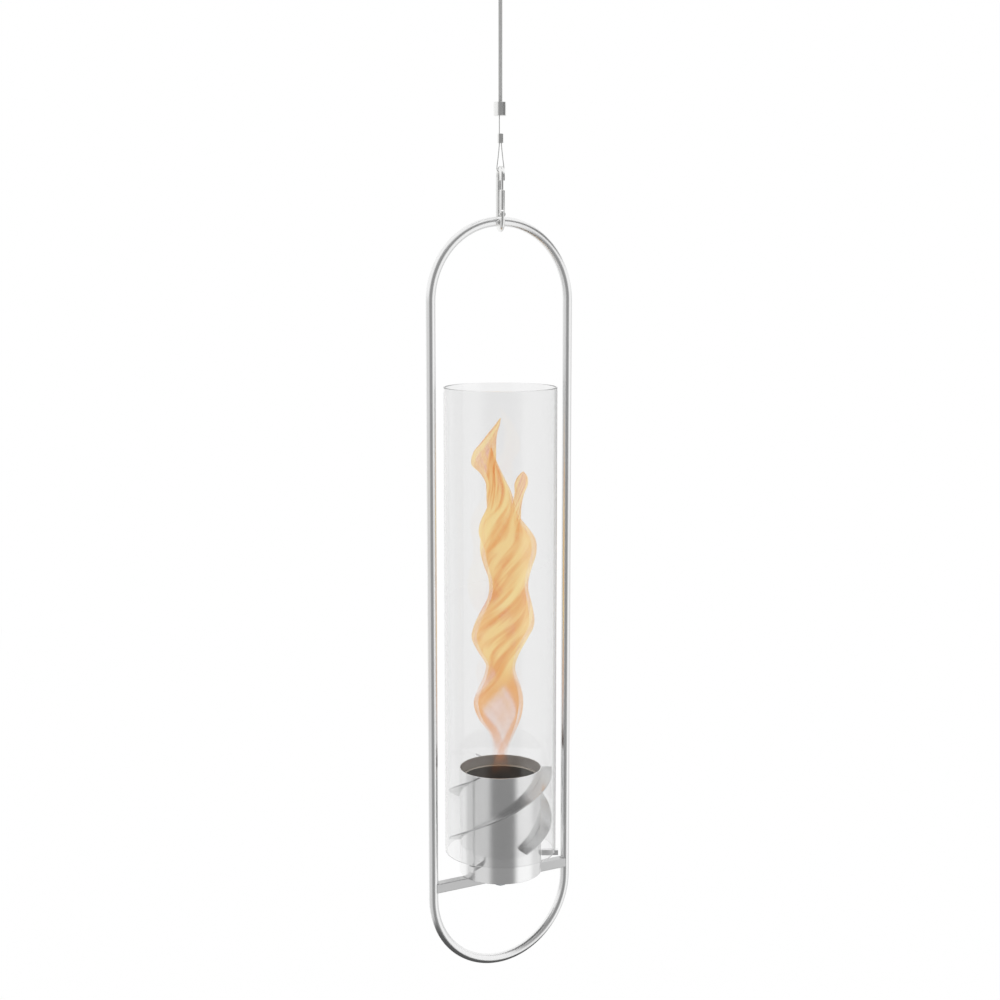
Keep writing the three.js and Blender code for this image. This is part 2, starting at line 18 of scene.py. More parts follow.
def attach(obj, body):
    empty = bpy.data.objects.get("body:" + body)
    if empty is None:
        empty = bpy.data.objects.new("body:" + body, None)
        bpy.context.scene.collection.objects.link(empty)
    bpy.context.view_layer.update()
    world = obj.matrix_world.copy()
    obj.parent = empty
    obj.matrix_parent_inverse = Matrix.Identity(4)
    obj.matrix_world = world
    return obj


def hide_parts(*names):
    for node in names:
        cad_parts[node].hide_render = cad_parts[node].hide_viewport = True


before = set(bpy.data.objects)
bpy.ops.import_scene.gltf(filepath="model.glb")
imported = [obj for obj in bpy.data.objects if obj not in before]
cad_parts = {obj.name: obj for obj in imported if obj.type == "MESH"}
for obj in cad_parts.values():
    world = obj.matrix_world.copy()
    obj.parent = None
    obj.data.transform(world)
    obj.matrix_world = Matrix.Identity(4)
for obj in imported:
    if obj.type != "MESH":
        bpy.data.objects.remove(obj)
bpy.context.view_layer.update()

log = logging.getLogger("fireplace")

MM = 0.001
# Points of a mesh that are closer than this are one point.
WELD = 0.0001 * MM
# The gap that touching pieces keep.
TOUCH = 0.3
# A crease over this many degrees stays sharp.
SHARP_ANGLE = 32.0
# Directions of the snap hook's plane, the rope's plane and the three sectors of the cup.
HOOK_AZIMUTH = -107.5
ROPE_AZIMUTH = HOOK_AZIMUTH + 90.0
SECTOR_AZIMUTHS = (-30.0, 90.0, 210.0)
# A Mix node's inputs for numbers, its inputs for colours, and its output for colours. They go by
# number, because they share their names.
NUMBER_A, NUMBER_B = 2, 3
COLOUR_A, COLOUR_B, COLOUR_OUT = 6, 7, 2
WHITE, BLACK = "ffffff", "000000"

Point2 = tuple[float, float]
Station = tuple[float, float, float]
Section = Callable[[float, float], list[Point2]]


# ---------------------------------------------------------------- geometry
def arc(cx: float, cy: float, radius: float, start: float, end: float, steps: int) -> list[Point2]:
    """Points on an arc, both ends included.

    Args:
        cx: First coordinate of the centre.
        cy: Second coordinate of the centre.
        radius: Radius of the arc.
        start: Angle of the first point, in degrees.
        end: Angle of the last point, in degrees.
        steps: How many equal steps the arc has.

    Returns:
        The points as pairs.
    """
    turns = [math.radians(start + (end - start) * i / steps) for i in range(steps + 1)]
    return [(cx + radius * math.cos(a), cy + radius * math.sin(a)) for a in turns]


def circle(radius: float, sides: int) -> list[Point2]:
    """Points of a whole circle, without a repeated first point."""
    return arc(0.0, 0.0, radius, 0.0, 360.0, sides)[:-1]


def oval(width: float, depth: float, steps: int = 24) -> list[Point2]:
    """A slot-shaped outline with round ends."""
    straight = (width - depth) / 2
    return [*arc(straight, 0, depth / 2, -90, 90, steps), *arc(-straight, 0, depth / 2, 90, 270, steps)]


def smooth_share(share: float) -> float:
    """Eases a share between 0 and 1 at both of its ends."""
    held = min(1.0, max(0.0, share))
    return held * held * (3.0 - 2.0 * held)


def rotation(azimuth: float) -> Matrix:
    """The turn about Z that carries +X to that azimuth, in degrees."""
    return Matrix.Rotation(math.radians(azimuth), 4, "Z")


def shade(piece: bpy.types.Object) -> None:
    """Shades a mesh smoothly, keeps its creases, and lets its large faces stay true.

    Args:
        piece: The piece that is shaded.
    """
    piece.data.shade_smooth()
    piece.data.set_sharp_from_angle(angle=math.radians(SHARP_ANGLE))
    weighted = piece.modifiers.new("true_faces", "WEIGHTED_NORMAL")
    weighted.keep_sharp = True


def make_object(name: str, points: Sequence[Vector], faces: Sequence[Sequence[int]],
                grain: Sequence[Vector] | None = None) -> bpy.types.Object:
    """Makes a shaded mesh object.

    Args:
        name: Name of the piece.
        points: Vertices, in millimetres.
        faces: Vertex numbers of each face.
        grain: Each vertex's place in the bar or sheet before it was bent, in millimetres.

    Returns:
        The new object, linked to the scene.
    """
    mesh = bpy.data.meshes.new(name)
    mesh.from_pydata([point * MM for point in points], [], faces)
    if grain is not None:
        stored = mesh.attributes.new("grain", "FLOAT_VECTOR", "POINT")
        stored.data.foreach_set("vector", [c * MM for place in grain for c in place])
    work = bmesh.new()
    work.from_mesh(mesh)
    bmesh.ops.remove_doubles(work, verts=work.verts, dist=WELD)
    bmesh.ops.recalc_face_normals(work, faces=work.faces)
    work.to_mesh(mesh)
    work.free()
    made = bpy.data.objects.new(name, mesh)
    bpy.context.scene.collection.objects.link(made)
    shade(made)
    return made


def loft_faces(count: int, rings: int, looped: bool) -> list[list[int]]:
    """Faces that join rings of equal point counts into one closed body.

    Args:
        count: How many points each ring has.
        rings: How many rings there are.
        looped: Whether the last ring joins the first. If not, both ends are closed.

    Returns:
        The vertex numbers of each face.
    """
    faces = []
    for ring in range(rings if looped else rings - 1):
        here, there = ring * count, (ring + 1) % rings * count
        for i in range(count):
            j = (i + 1) % count
            faces.append([here + i, here + j, there + j, there + i])
    if not looped:
        faces += [list(range(count))[::-1], list(range((rings - 1) * count, rings * count))]
    return faces


def revolve(name: str, profile: Sequence[Point2], segments: int) -> bpy.types.Object:
    """Turns a closed profile of (radius, height) pairs about Z.

    Args:
        name: Name of the piece.
        profile: The outline of the section, in order.
        segments: How many steps the turn has.

    Returns:
        The new object.
    """
    points = []
    for step in range(segments):
        angle = 2 * math.pi * step / segments
        points += [Vector((r * math.cos(angle), r * math.sin(angle), z)) for r, z in profile]
    return make_object(name, points, loft_faces(len(profile), segments, True))


def smooth_route(points: Sequence[Sequence[float]], step: float,
                 per_span: int = 24) -> list[tuple[float, ...]]:
    """Runs a centripetal spline through points and spaces it evenly.

    Args:
        points: The points that the line passes through, all with as many coordinates.
        step: The rough distance between two points of the result.
        per_span: How finely the spline between two points is measured.

    Returns:
        Evenly spaced points on the spline, both ends included.
    """
    nodes = [Vector(p) for p in points]
    nodes = [2 * nodes[0] - nodes[1], *nodes, 2 * nodes[-1] - nodes[-2]]
    fine: list[Vector] = []
    for a, b, c, d in zip(nodes, nodes[1:], nodes[2:], nodes[3:]):
        t1 = math.sqrt((b - a).length)
        t2 = t1 + math.sqrt((c - b).length)
        t3 = t2 + math.sqrt((d - c).length)
        for i in range(per_span):
            t = t1 + (t2 - t1) * i / per_span
            share = (t - t1) / (t2 - t1)
            ab, bc, cd = a.lerp(b, t / t1), b.lerp(c, share), c.lerp(d, (t - t2) / (t3 - t2))
            near, far = ab.lerp(bc, t / t2), bc.lerp(cd, (t - t1) / (t3 - t1))
            fine.append(near.lerp(far, share))
    fine.append(nodes[-2])
    lengths = [0.0]
    for here, there in zip(fine, fine[1:]):
        lengths.append(lengths[-1] + (there - here).length)
    count = max(2, round(lengths[-1] / step))
    spaced, at = [], 0
    for i in range(count + 1):
        want = lengths[-1] * i / count
        while at < len(fine) - 2 and lengths[at + 1] < want:
            at += 1
        share = (want - lengths[at]) / (lengths[at + 1] - lengths[at])
        spaced.append(tuple(fine[at].lerp(fine[at + 1], share)))
    return spaced


def sweep(name: str, route: Sequence[Point2], azimuth: float, section: Section,
          looped: bool = False) -> bpy.types.Object:
    """Runs a section along a line that lies in one upright plane.

    Args:
        name: Name of the piece.
        route: Points (across, height) of the line.
        azimuth: Direction of the plane's across axis, in degrees.
        section: Gives the section's points (outwards, sideways) for a distance along the line
            and a distance to the nearer end.
        looped: Whether the line closes on itself.

    Returns:
        The new object, with its grain stored as (outwards, sideways, height or distance).
    """
    turn = rotation(azimuth)
    side = turn @ Vector((0, 1, 0))
    lengths = [0.0]
    for (ax, az), (bx, bz) in zip(route, route[1:]):
        lengths.append(lengths[-1] + math.hypot(bx - ax, bz - az))
    points, grain, count, total = [], [], 0, len(route)
    for i, (across, height) in enumerate(route):
        before = route[i - 1] if looped or i else route[0]
        after = route[(i + 1) % total] if looped or i < total - 1 else route[-1]
        along = Vector((after[0] - before[0], after[1] - before[1])).normalized()
        outward = turn @ Vector((along.y, 0, -along.x))
        centre = turn @ Vector((across, 0, height))
        ring = section(lengths[i], min(lengths[i], lengths[-1] - lengths[i]))
        count = len(ring)
        points += [centre + outward * a + side * b for a, b in ring]
        distance = height if looped else lengths[i]
        grain += [Vector((a, b, distance)) for a, b in ring]
    return make_object(name, points, loft_faces(count, total, looped), grain)


def round_section(radius: float, sides: int, end_round: float = 0.0) -> Section:
    """A round bar's section, which may be drawn in at the bar's ends.

    Args:
        radius: Radius of the bar.
        sides: How many points the section has.
        end_round: Radius of the rounding at the bar's ends.

    Returns:
        The section, as a function of the distance to the nearer end.
    """
    def section(distance: float, to_end: float) -> list[Point2]:
        """The circle at that distance from the end."""
        lack = max(0.0, 1.0 - to_end / end_round) if end_round else 0.0
        return circle(radius - end_round * (1.0 - math.sqrt(1.0 - lack * lack)), sides)
    return section


def stranded_section(radius: float, lay: float, wires: int, per_wire: int) -> Section:
    """A strand's section: outer wires that turn once in each lay length.

    Args:
        radius: The strand's own radius.
        lay: How far along the strand one turn takes.
        wires: How many wires show round it.
        per_wire: How many points draw each wire.

    Returns:
        The section, as a function of the distance along the strand.
    """
    spread = math.sin(math.pi / wires)
    wire = radius * spread / (1 + spread)
    centre = radius - wire
    step = 2 * math.pi / (wires * per_wire)
    lobes = []
    for i in range(wires * per_wire):
        off = (i % per_wire - per_wire / 2) * step
        inside = max(0.0, wire * wire - (centre * math.sin(off)) ** 2)
        lobes.append((step * i, centre * math.cos(off) + math.sqrt(inside)))

    def section(distance: float, to_end: float) -> list[Point2]:
        """The lobes, turned as far as the lay has turned them."""
        turn = 2 * math.pi * distance / lay
        return [(r * math.cos(a + turn), r * math.sin(a + turn)) for a, r in lobes]
    return section


def prism(name: str, outline: Sequence[Point2], bottom: float, top: float, edge: float,
          steps: int = 5) -> bpy.types.Object:
    """An upright prism whose two end edges are rounded.

    Args:
        name: Name of the piece.
        outline: Convex outline, counter-clockwise, about the origin.
        bottom: Height of its foot.
        top: Height of its head.
        edge: Radius of the rounding.
        steps: How many steps the rounding has.

    Returns:
        The new object.
    """
    turns = [math.pi / 2 * i / steps for i in range(steps + 1)]
    rises = [(edge - edge * math.sin(a), edge * (1 - math.cos(a))) for a in turns]
    levels = [(inset, bottom + rise) for inset, rise in rises]
    levels += [(inset, top - rise) for inset, rise in reversed(rises)]
    points = []
    for inset, height in levels:
        for x, y in outline:
            kept = 1 - inset / math.hypot(x, y)
            points.append(Vector((x * kept, y * kept, height)))
    return make_object(name, points, loft_faces(len(outline), len(levels), False))


def block(size: Vector, centre: Vector) -> bpy.types.Object:
    """A plain block, which cuts another piece.

    Args:
        size: Its three sizes.
        centre: Its middle.

    Returns:
        The new object.
    """
    x, y, z = size / 2
    corners = [(-x, -y), (x, -y), (x, y), (-x, y)]
    points = [centre + Vector((*corner, rise)) for rise in (-z, z) for corner in corners]
    return make_object("cutter", points, loft_faces(4, 2, False))


def carve(body: bpy.types.Object, cutters: Iterable[bpy.types.Object],
          joined: Iterable[bpy.types.Object] = ()) -> bpy.types.Object:
    """Adds some bodies to another, cuts others out of it, and removes them all.

    Args:
        body: The object that is cut.
        cutters: Objects that are cut out.
        joined: Objects that are added first.

    Returns:
        The same object, with its new mesh.
    """
    tools = [(tool, "UNION") for tool in joined] + [(tool, "DIFFERENCE") for tool in cutters]
    for tool, operation in tools:
        change = body.modifiers.new("carve", "BOOLEAN")
        change.object = tool
        change.operation = operation
        change.solver = "EXACT"
        bpy.context.view_layer.update()
        seen = body.evaluated_get(bpy.context.evaluated_depsgraph_get())
        carved = bpy.data.meshes.new_from_object(seen)
        body.modifiers.clear()
        body.data = carved
        bpy.data.objects.remove(tool)
    shade(body)
    return body


def place(body: bpy.types.Object, azimuth: float = 0.0, shift: Point2 = (0.0, 0.0),
          tilt: float = 0.0, height: float = 0.0) -> bpy.types.Object:
    """Moves a mesh's points: tilts it about X, lifts it, shifts it, then turns it about Z.

    Args:
        body: The object whose points move.
        azimuth: The turn about Z, in degrees.
        shift: How far it moves along X and Y before that turn.
        tilt: The tilt about X, in degrees.
        height: How far it is lifted.

    Returns:
        The same object.
    """
    move = Matrix.Translation(Vector((*shift, height)) * MM)
    body.data.transform(rotation(azimuth) @ move @ Matrix.Rotation(math.radians(tilt), 4, "X"))
    return body


# ---------------------------------------------------------------- materials
def from_hex(code: str) -> tuple[float, float, float, float]:
    """Turns an sRGB hex colour, such as c8c9ca, into linear RGBA.

    Args:
        code: The colour's six digits.

    Returns:
        Red, green, blue and an alpha of 1.
    """
    channels = [int(code[i:i + 2], 16) / 255 for i in (0, 2, 4)]
    linear = [c / 12.92 if c <= 0.04045 else ((c + 0.055) / 1.055) ** 2.4 for c in channels]
    return (*linear, 1.0)


def feed(tree: bpy.types.NodeTree, node: bpy.types.Node, values: dict | None = None,
         links: dict | None = None) -> bpy.types.Node:
    """Sets some inputs of a node and links others.

    Args:
        tree: The tree that holds the node.
        node: The node.
        values: Values of unlinked inputs, by name or number.
        links: Output sockets that feed inputs, by name or number.

    Returns:
        The same node.
    """
    for key, value in (values or {}).items():
        node.inputs[key].default_value = value
    for key, socket in (links or {}).items():
        tree.links.new(socket, node.inputs[key])
    return node


def add_node(tree: bpy.types.NodeTree, kind: str, settings: dict | None = None,
             values: dict | None = None, links: dict | None = None) -> bpy.types.Node:
    """Adds a node to a tree.

    Args:
        tree: The tree that gets the node.
        kind: The node's type.
        settings: The node's own settings.
        values: Values of unlinked inputs, by name or number.
        links: Output sockets that feed inputs, by name or number.

    Returns:
        The new node.
    """
    node = tree.nodes.new(kind)
    for key, value in (settings or {}).items():
        setattr(node, key, value)
    return feed(tree, node, values, links)


def start_material(name: str) -> tuple[bpy.types.Material, bpy.types.NodeTree, bpy.types.Node]:
    """Starts a material.

    Args:
        name: Real material and how its surface was made.

    Returns:
        The material, its tree and its shader.
    """
    made = bpy.data.materials.new(name)
    made.use_nodes = True
    return made, made.node_tree, made.node_tree.nodes["Principled BSDF"]


def in_mirrors(tree: bpy.types.NodeTree) -> bpy.types.NodeSocket:
    """A socket that is 1 on a ray that has met a mirror on its way, and else 0."""
    depth = add_node(tree, "ShaderNodeLightPath").outputs["Glossy Depth"]
    return add_node(tree, "ShaderNodeMath", {"operation": "GREATER_THAN"}, {1: 0.5}, {0: depth}).outputs[0]


class Grain(Enum):
    """Where a finish reads its place: the model's own axes, or the bar before it was bent."""

    MODEL = "model"
    BAR = "bar"


@dataclass(frozen=True)
class Finish:
    """A surface that was ground, drawn or polished in one direction.

    Attributes:
        name: Real material and how its surface was made.
        tint: Colour where it is clean, as hex.
        worn: Colour of the fine lines, as hex.
        metallic: 1 on bare metal, less where a dull film covers it.
        roughness: Mean roughness.
        roughness_spread: How far the lines change the roughness.
        lines: Size of the marks along each axis of the grain, in millimetres.
        relief: Depth that the marks are drawn with, in millimetres.
        grain: Where the marks take their place from.
        blotch: Size of cloudy changes of roughness, in millimetres.
        spread: Range of the sum of marks and clouds that the roughness follows.
    """

    name: str
    tint: str
    worn: str
    metallic: float
    roughness: float
    roughness_spread: float
    lines: tuple[float, float, float]
    relief: float
    grain: Grain = Grain.MODEL
    blotch: float = 40.0
    spread: tuple[float, float] = (0.6, 1.4)

    def material(self) -> bpy.types.Material:
        """Builds the finish as a node material.

        Returns:
            The new material.
        """
        made, tree, shader = start_material(self.name)
        if self.grain is Grain.MODEL:
            where = add_node(tree, "ShaderNodeTexCoord").outputs["Object"]
        else:
            where = add_node(tree, "ShaderNodeAttribute", {"attribute_name": "grain"}).outputs["Vector"]
        stretch = tuple(1.0 / (size * MM) for size in self.lines)
        marks_at = add_node(tree, "ShaderNodeVectorMath", {"operation": "MULTIPLY"},
                            {1: stretch}, {0: where}).outputs[0]
        marks = add_node(tree, "ShaderNodeTexNoise", None, {"Scale": 1.0, "Detail": 3.0, "Roughness": 0.6},
                         {"Vector": marks_at}).outputs["Fac"]
        clouds = add_node(tree, "ShaderNodeTexNoise", None,
                          {"Scale": 1.0 / (self.blotch * MM), "Detail": 2.0},
                          {"Vector": where}).outputs["Fac"]
        colour = add_node(tree, "ShaderNodeMix", {"data_type": "RGBA"},
                          {COLOUR_A: from_hex(self.tint), COLOUR_B: from_hex(self.worn)},
                          {0: marks}).outputs[COLOUR_OUT]
        mixed = add_node(tree, "ShaderNodeMath", {"operation": "ADD"}, links={0: marks, 1: clouds}).outputs[0]
        rough = add_node(tree, "ShaderNodeMapRange", None, {
            "From Min": self.spread[0], "From Max": self.spread[1],
            "To Min": self.roughness - self.roughness_spread,
            "To Max": self.roughness + self.roughness_spread}, {"Value": mixed}).outputs[0]
        bump = add_node(tree, "ShaderNodeBump", None, {"Strength": 1.0, "Distance": self.relief * MM},
                        {"Height": marks}).outputs[0]
        feed(tree, shader, {"Metallic": self.metallic},
             {"Base Color": colour, "Roughness": rough, "Normal": bump})
        return made


# Stainless steel bar, belt-ground along its length and then polished: soft lines along the bar.
BAR_STEEL = Finish("stainless_steel_bar_drawn_polished", "f5f5f5", "ededed", 1.0, 0.25, 0.03,
                   (0.6, 0.6, 40.0), 0.0001, Grain.BAR)
# The square crossbar is the same steel, ground along X, which leaves it duller and darker.
CROSSBAR_STEEL = Finish("stainless_steel_square_bar_ground", "cbcbcb", "bfbfbf", 1.0, 0.3, 0.04,
                        (14.0, 0.25, 0.25), 0.0006)
# Stainless tube, spun against a fine belt: hairlines run round the cup.
TUBE_STEEL = Finish("stainless_steel_tube_spun_brushed", "fbfbfb", "f4f4f4", 1.0, 0.2, 0.03,
                    (22.0, 22.0, 0.22), 0.0006)
# The tube's inside, honed and dulled by a film of smoke: softer mirrors than outside.
BORE_STEEL = Finish("stainless_steel_tube_honed_inside", "e4e3e1", "cfcdca", 0.45, 0.42, 0.06,
                    (22.0, 22.0, 0.22), 0.0006)
# Stainless sheet, laser-cut and twisted, with its rolling lines along the strip.
SHEET_STEEL = Finish("stainless_steel_sheet_rolled", "d9d9d9", "cfcfcf", 1.0, 0.19, 0.04,
                     (0.3, 0.3, 12.0), 0.0005, Grain.BAR)
# Drawn steel can, tinted by heat: brown-grey, with soot that deepens the grey in patches.
CAN_STEEL = Finish("stainless_steel_can_drawn_heat_tinted", "c4bdb3", "9a9288", 1.0, 0.36, 0.1,
                   (16.0, 16.0, 0.3), 0.0008, Grain.MODEL, 14.0)
# Nickel-plated fittings, barrel-polished: almost a mirror, with a few fine scuffs.
NICKEL = Finish("nickel_plated_steel_polished", "f6f6f5", "eeeeed", 1.0, 0.19, 0.04,
                (0.8, 0.8, 0.8), 0.0008)
# Zinc plating, dull and slightly blue, with a spangle of a few millimetres.
ZINC = Finish("zinc_plated_steel", "bcc1c4", "a9aeb1", 1.0, 0.38, 0.08, (2.5, 2.5, 2.5), 0.002)
ZINC_BAR = Finish("zinc_plated_bar", "bcc1c4", "a9aeb1", 1.0, 0.38, 0.08, (1.2, 1.2, 6.0), 0.002, Grain.BAR)
# Galvanised strands, dull enough to show their own grey. Their finest wires are about 0.25 mm,
# and the lines are drawn a little coarser than that, so that they show.
STRAND = Finish("galvanised_steel_strand", "c6c6c5", "b0b0af", 0.2, 0.55, 0.08,
                (0.35, 0.35, 3.0), 0.02, Grain.BAR)


@dataclass(frozen=True)
class TubeGlass:
    """Borosilicate tube, drawn and fire-polished: clear, with the faintest grey-green in its edges.

    Attributes:
        name: Real material and how its surface was made.
        tint: Colour of what passes the surface, as hex.
        ior: Index of refraction.
        passed: Colour that the glass keeps in its depth, as hex.
        loss: How fast the depth takes light, in one metre.
        waviness: Size of the ripple that drawing leaves, in millimetres.
        drawn: How many times longer the ripple is along the tube.
        relief: Depth of the ripple, in millimetres.
        ripple_strength: Share of the ripple that shows.
    """

    name: str = "borosilicate_glass_fire_polished"
    tint: str = "f8f8f8"
    ior: float = 1.47
    passed: str = "24302c"
    loss: float = 9.0
    waviness: float = 60.0
    drawn: float = 4.0
    relief: float = 0.02
    ripple_strength: float = 0.3

    def material(self) -> bpy.types.Material:
        """Builds the glass, with the slow ripple that drawing leaves along the tube.

        Returns:
            The new material.
        """
        made, tree, shader = start_material(self.name)
        where = add_node(tree, "ShaderNodeTexCoord").outputs["Object"]
        size = 1.0 / (self.waviness * MM)
        at = add_node(tree, "ShaderNodeVectorMath", {"operation": "MULTIPLY"},
                      {1: (size, size, size / self.drawn)}, {0: where}).outputs[0]
        ripple = add_node(tree, "ShaderNodeTexNoise", None, {"Scale": 1.0, "Detail": 1.0},
                          {"Vector": at}).outputs["Fac"]
        bump = add_node(tree, "ShaderNodeBump", None,
                        {"Strength": self.ripple_strength, "Distance": self.relief * MM},
                        {"Height": ripple}).outputs[0]
        feed(tree, shader, {"Base Color": from_hex(self.tint), "Roughness": 0.0, "IOR": self.ior,
                            "Transmission Weight": 1.0}, {"Normal": bump})
        depth = add_node(tree, "ShaderNodeVolumeAbsorption", None,
                         {"Color": from_hex(self.passed), "Density": self.loss})
        feed(tree, tree.nodes["Material Output"], links={"Volume": depth.outputs[0]})
        return made


@dataclass(frozen=True)
class CeramicFibre:
    """Pressed ceramic wool: matt off-white, greyed and browned by the burnt fuel.

    Attributes:
        name: Real material and how its surface was made.
        clean: Colour of the clean wool, as hex.
        burnt: Colour of the burnt patches, as hex.
        fibre: Size of the tufts, in millimetres.
        patch: Size of the burnt patches, in millimetres.
        patch_edge: Range of the noise over which a patch begins.
        relief: Height of the tufts, in millimetres.
        tuft_strength: Share of that height that shows.
    """

    name: str = "ceramic_fibre_pressed"
    clean: str = "a79f94"
    burnt: str = "4a433c"
    fibre: float = 0.8
    patch: float = 18.0
    patch_edge: tuple[float, float] = (0.35, 0.65)
    relief: float = 0.6
    tuft_strength: float = 0.8

    def material(self) -> bpy.types.Material:
        """Builds the matt fibre with its burnt patches.

        Returns:
            The new material.
        """
        made, tree, shader = start_material(self.name)
        where = add_node(tree, "ShaderNodeTexCoord").outputs["Object"]
        fibres = add_node(tree, "ShaderNodeTexNoise", None,
                          {"Scale": 1 / (self.fibre * MM), "Detail": 5.0, "Roughness": 0.7},
                          {"Vector": where}).outputs["Fac"]
        patches = add_node(tree, "ShaderNodeTexNoise", None, {"Scale": 1 / (self.patch * MM), "Detail": 3.0},
                           {"Vector": where}).outputs["Fac"]
        share = add_node(tree, "ShaderNodeMapRange", None,
                         {"From Min": self.patch_edge[0], "From Max": self.patch_edge[1]},
                         {"Value": patches}).outputs[0]
        colour = add_node(tree, "ShaderNodeMix", {"data_type": "RGBA"},
                          {COLOUR_A: from_hex(self.clean), COLOUR_B: from_hex(self.burnt)},
                          {0: share}).outputs[COLOUR_OUT]
        bump = add_node(tree, "ShaderNodeBump", None,
                        {"Strength": self.tuft_strength, "Distance": self.relief * MM},
                        {"Height": fibres}).outputs[0]
        feed(tree, shader, {"Roughness": 0.95}, {"Base Color": colour, "Normal": bump})
        return made


@dataclass(frozen=True)
class SootGlow:
    """Alcohol flame with glowing soot: clear at its foot, orange in its thin parts, pale in its folds.

    Attributes:
        name: What glows and how.
        thin: Colour where the sheet of flame is thin, as hex.
        folded: Colour where it is folded on itself, as hex.
        streak: Length of the streaks along the flame, in millimetres.
        fineness: How many streaks there are, as noise scale on the unit circle.
        streak_edge: Range of the noise over which a streak begins.
        streak_glow: How pale a streak alone is, from 0 to 1.
        fold_glow: How pale a fold alone is, from 0 to 1.
        cover: How much the thin and the folded parts hide, from 0 to 1.
        level: Strength of the glow.
    """

    name: str = "alcohol_flame_glowing_soot"
    thin: str = "e88a38"
    folded: str = "fbe0a0"
    streak: float = 75.0
    fineness: float = 1.5
    streak_edge: tuple[float, float] = (0.39, 0.57)
    streak_glow: float = 0.9
    fold_glow: float = 0.5
    cover: tuple[float, float] = (0.4, 0.8)
    level: float = 1.0

    def material(self) -> bpy.types.Material:
        """Builds the glow from the twisted place and the thickness that each piece stores.

        Returns:
            The new material.
        """
        made, tree, shader = start_material(self.name)
        place_at = add_node(tree, "ShaderNodeAttribute", {"attribute_name": "grain"}).outputs["Vector"]
        dense, whole, warmth = (add_node(tree, "ShaderNodeAttribute", {"attribute_name": key}).outputs["Fac"]
                                for key in ("dense", "whole", "warmth"))
        stretch = (self.fineness, self.fineness, 1.0 / (self.streak * MM))
        at = add_node(tree, "ShaderNodeVectorMath", {"operation": "MULTIPLY"},
                      {1: stretch}, {0: place_at}).outputs[0]
        noise = add_node(tree, "ShaderNodeTexNoise", None, {"Scale": 1.0, "Detail": 2.0, "Roughness": 0.55},
                         {"Vector": at}).outputs["Fac"]
        streaks = add_node(tree, "ShaderNodeMapRange", None,
                           {"From Min": self.streak_edge[0], "From Max": self.streak_edge[1]},
                           {"Value": noise}).outputs[0]
        folds = add_node(tree, "ShaderNodeMath", {"operation": "MAXIMUM"},
                         links={0: streaks, 1: dense}).outputs[0]
        fold_share = add_node(tree, "ShaderNodeMath", {"operation": "MULTIPLY"},
                              {1: self.fold_glow}, {0: dense}).outputs[0]
        bright = add_node(tree, "ShaderNodeMath", {"operation": "MULTIPLY_ADD", "use_clamp": True},
                          {1: self.streak_glow}, {0: streaks, 2: fold_share}).outputs[0]
        pale = add_node(tree, "ShaderNodeMath", {"operation": "MULTIPLY"},
                        links={0: bright, 1: warmth}).outputs[0]
        colour = add_node(tree, "ShaderNodeMix", {"data_type": "RGBA"},
                          {COLOUR_A: from_hex(self.thin), COLOUR_B: from_hex(self.folded)},
                          {0: pale}).outputs[COLOUR_OUT]
        cover = add_node(tree, "ShaderNodeMapRange", None,
                         {"To Min": self.cover[0], "To Max": self.cover[1]}, {"Value": folds}).outputs[0]
        alpha = add_node(tree, "ShaderNodeMath", {"operation": "MULTIPLY"},
                         links={0: cover, 1: whole}).outputs[0]
        feed(tree, shader, {"Base Color": from_hex(BLACK), "Roughness": 1.0, "Specular IOR Level": 0.0,
                            "Emission Strength": self.level}, {"Emission Color": colour, "Alpha": alpha})
        return made


AnyFinish = Finish | TubeGlass | CeramicFibre | SootGlow


class Workshop:
    """Keeps one material for each finish and fits finished pieces to the model."""

    def __init__(self) -> None:
        """Starts with no materials made."""
        self.materials: dict[str, bpy.types.Material] = {}

    def material(self, finish: AnyFinish) -> bpy.types.Material:
        """Gives the one material of a finish.

        Args:
            finish: The finish.

        Returns:
            Its material, made when it is first asked for.
        """
        if finish.name not in self.materials:
            self.materials[finish.name] = finish.material()
        return self.materials[finish.name]

    def dress(self, piece: bpy.types.Object, finish: AnyFinish) -> None:
        """Gives a piece one finish all over."""
        piece.data.materials.clear()
        piece.data.materials.append(self.material(finish))

    def line_bore(self, piece: bpy.types.Object, finish: Finish, facing: float = 0.5) -> None:
        """Gives a dressed piece another finish on the faces that look at the model's axis.

        Args:
            piece: The dressed piece.
            finish: The finish inside.
            facing: How squarely such a face looks at the axis, up to 1.
        """
        piece.data.materials.append(self.material(finish))
        for face in piece.data.polygons:
            outward = face.center.x * face.normal.x + face.center.y * face.normal.y
            face.material_index = 1 if outward < -facing * face.center.xy.length else 0

    def fit(self, piece: bpy.types.Object, finish: AnyFinish, body: str,
            nodes: Sequence[str] = ()) -> bpy.types.Object:
        """Dresses a new piece and lets it ride on its body.

        Args:
            piece: The new piece.
            finish: Its finish.
            body: The body of the model that carries it.
            nodes: The model's nodes that it stands for.

        Returns:
            The same piece.
        """
        self.dress(piece, finish)
        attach(piece, body)
        if nodes:
            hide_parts(*nodes)
        log.info("%s rides on %s", piece.name, body)
        return piece

    def keep(self, node: str, finish: Finish) -> None:
        """Shows one of the model's own nodes with a finish.

        Args:
            node: Name of the node.
            finish: Its finish.
        """
        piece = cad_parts[node]
        self.dress(piece, finish)
        shade(piece)
        log.info("%s is kept", node)


# ---------------------------------------------------------------- camera, light and surroundings
@dataclass(frozen=True)
class Flag:
    """A dark wall, far off, that takes light out of what metal and glass mirror.

    Attributes:
        right: Where it starts, is whole, starts to end and ends, in degrees right of the camera
            as the object sees it.
        up: The same in degrees above the horizon.
        depth: The share of the light that it takes away.
    """

    right: tuple[float, float, float, float]
    up: tuple[float, float, float, float]
    depth: float


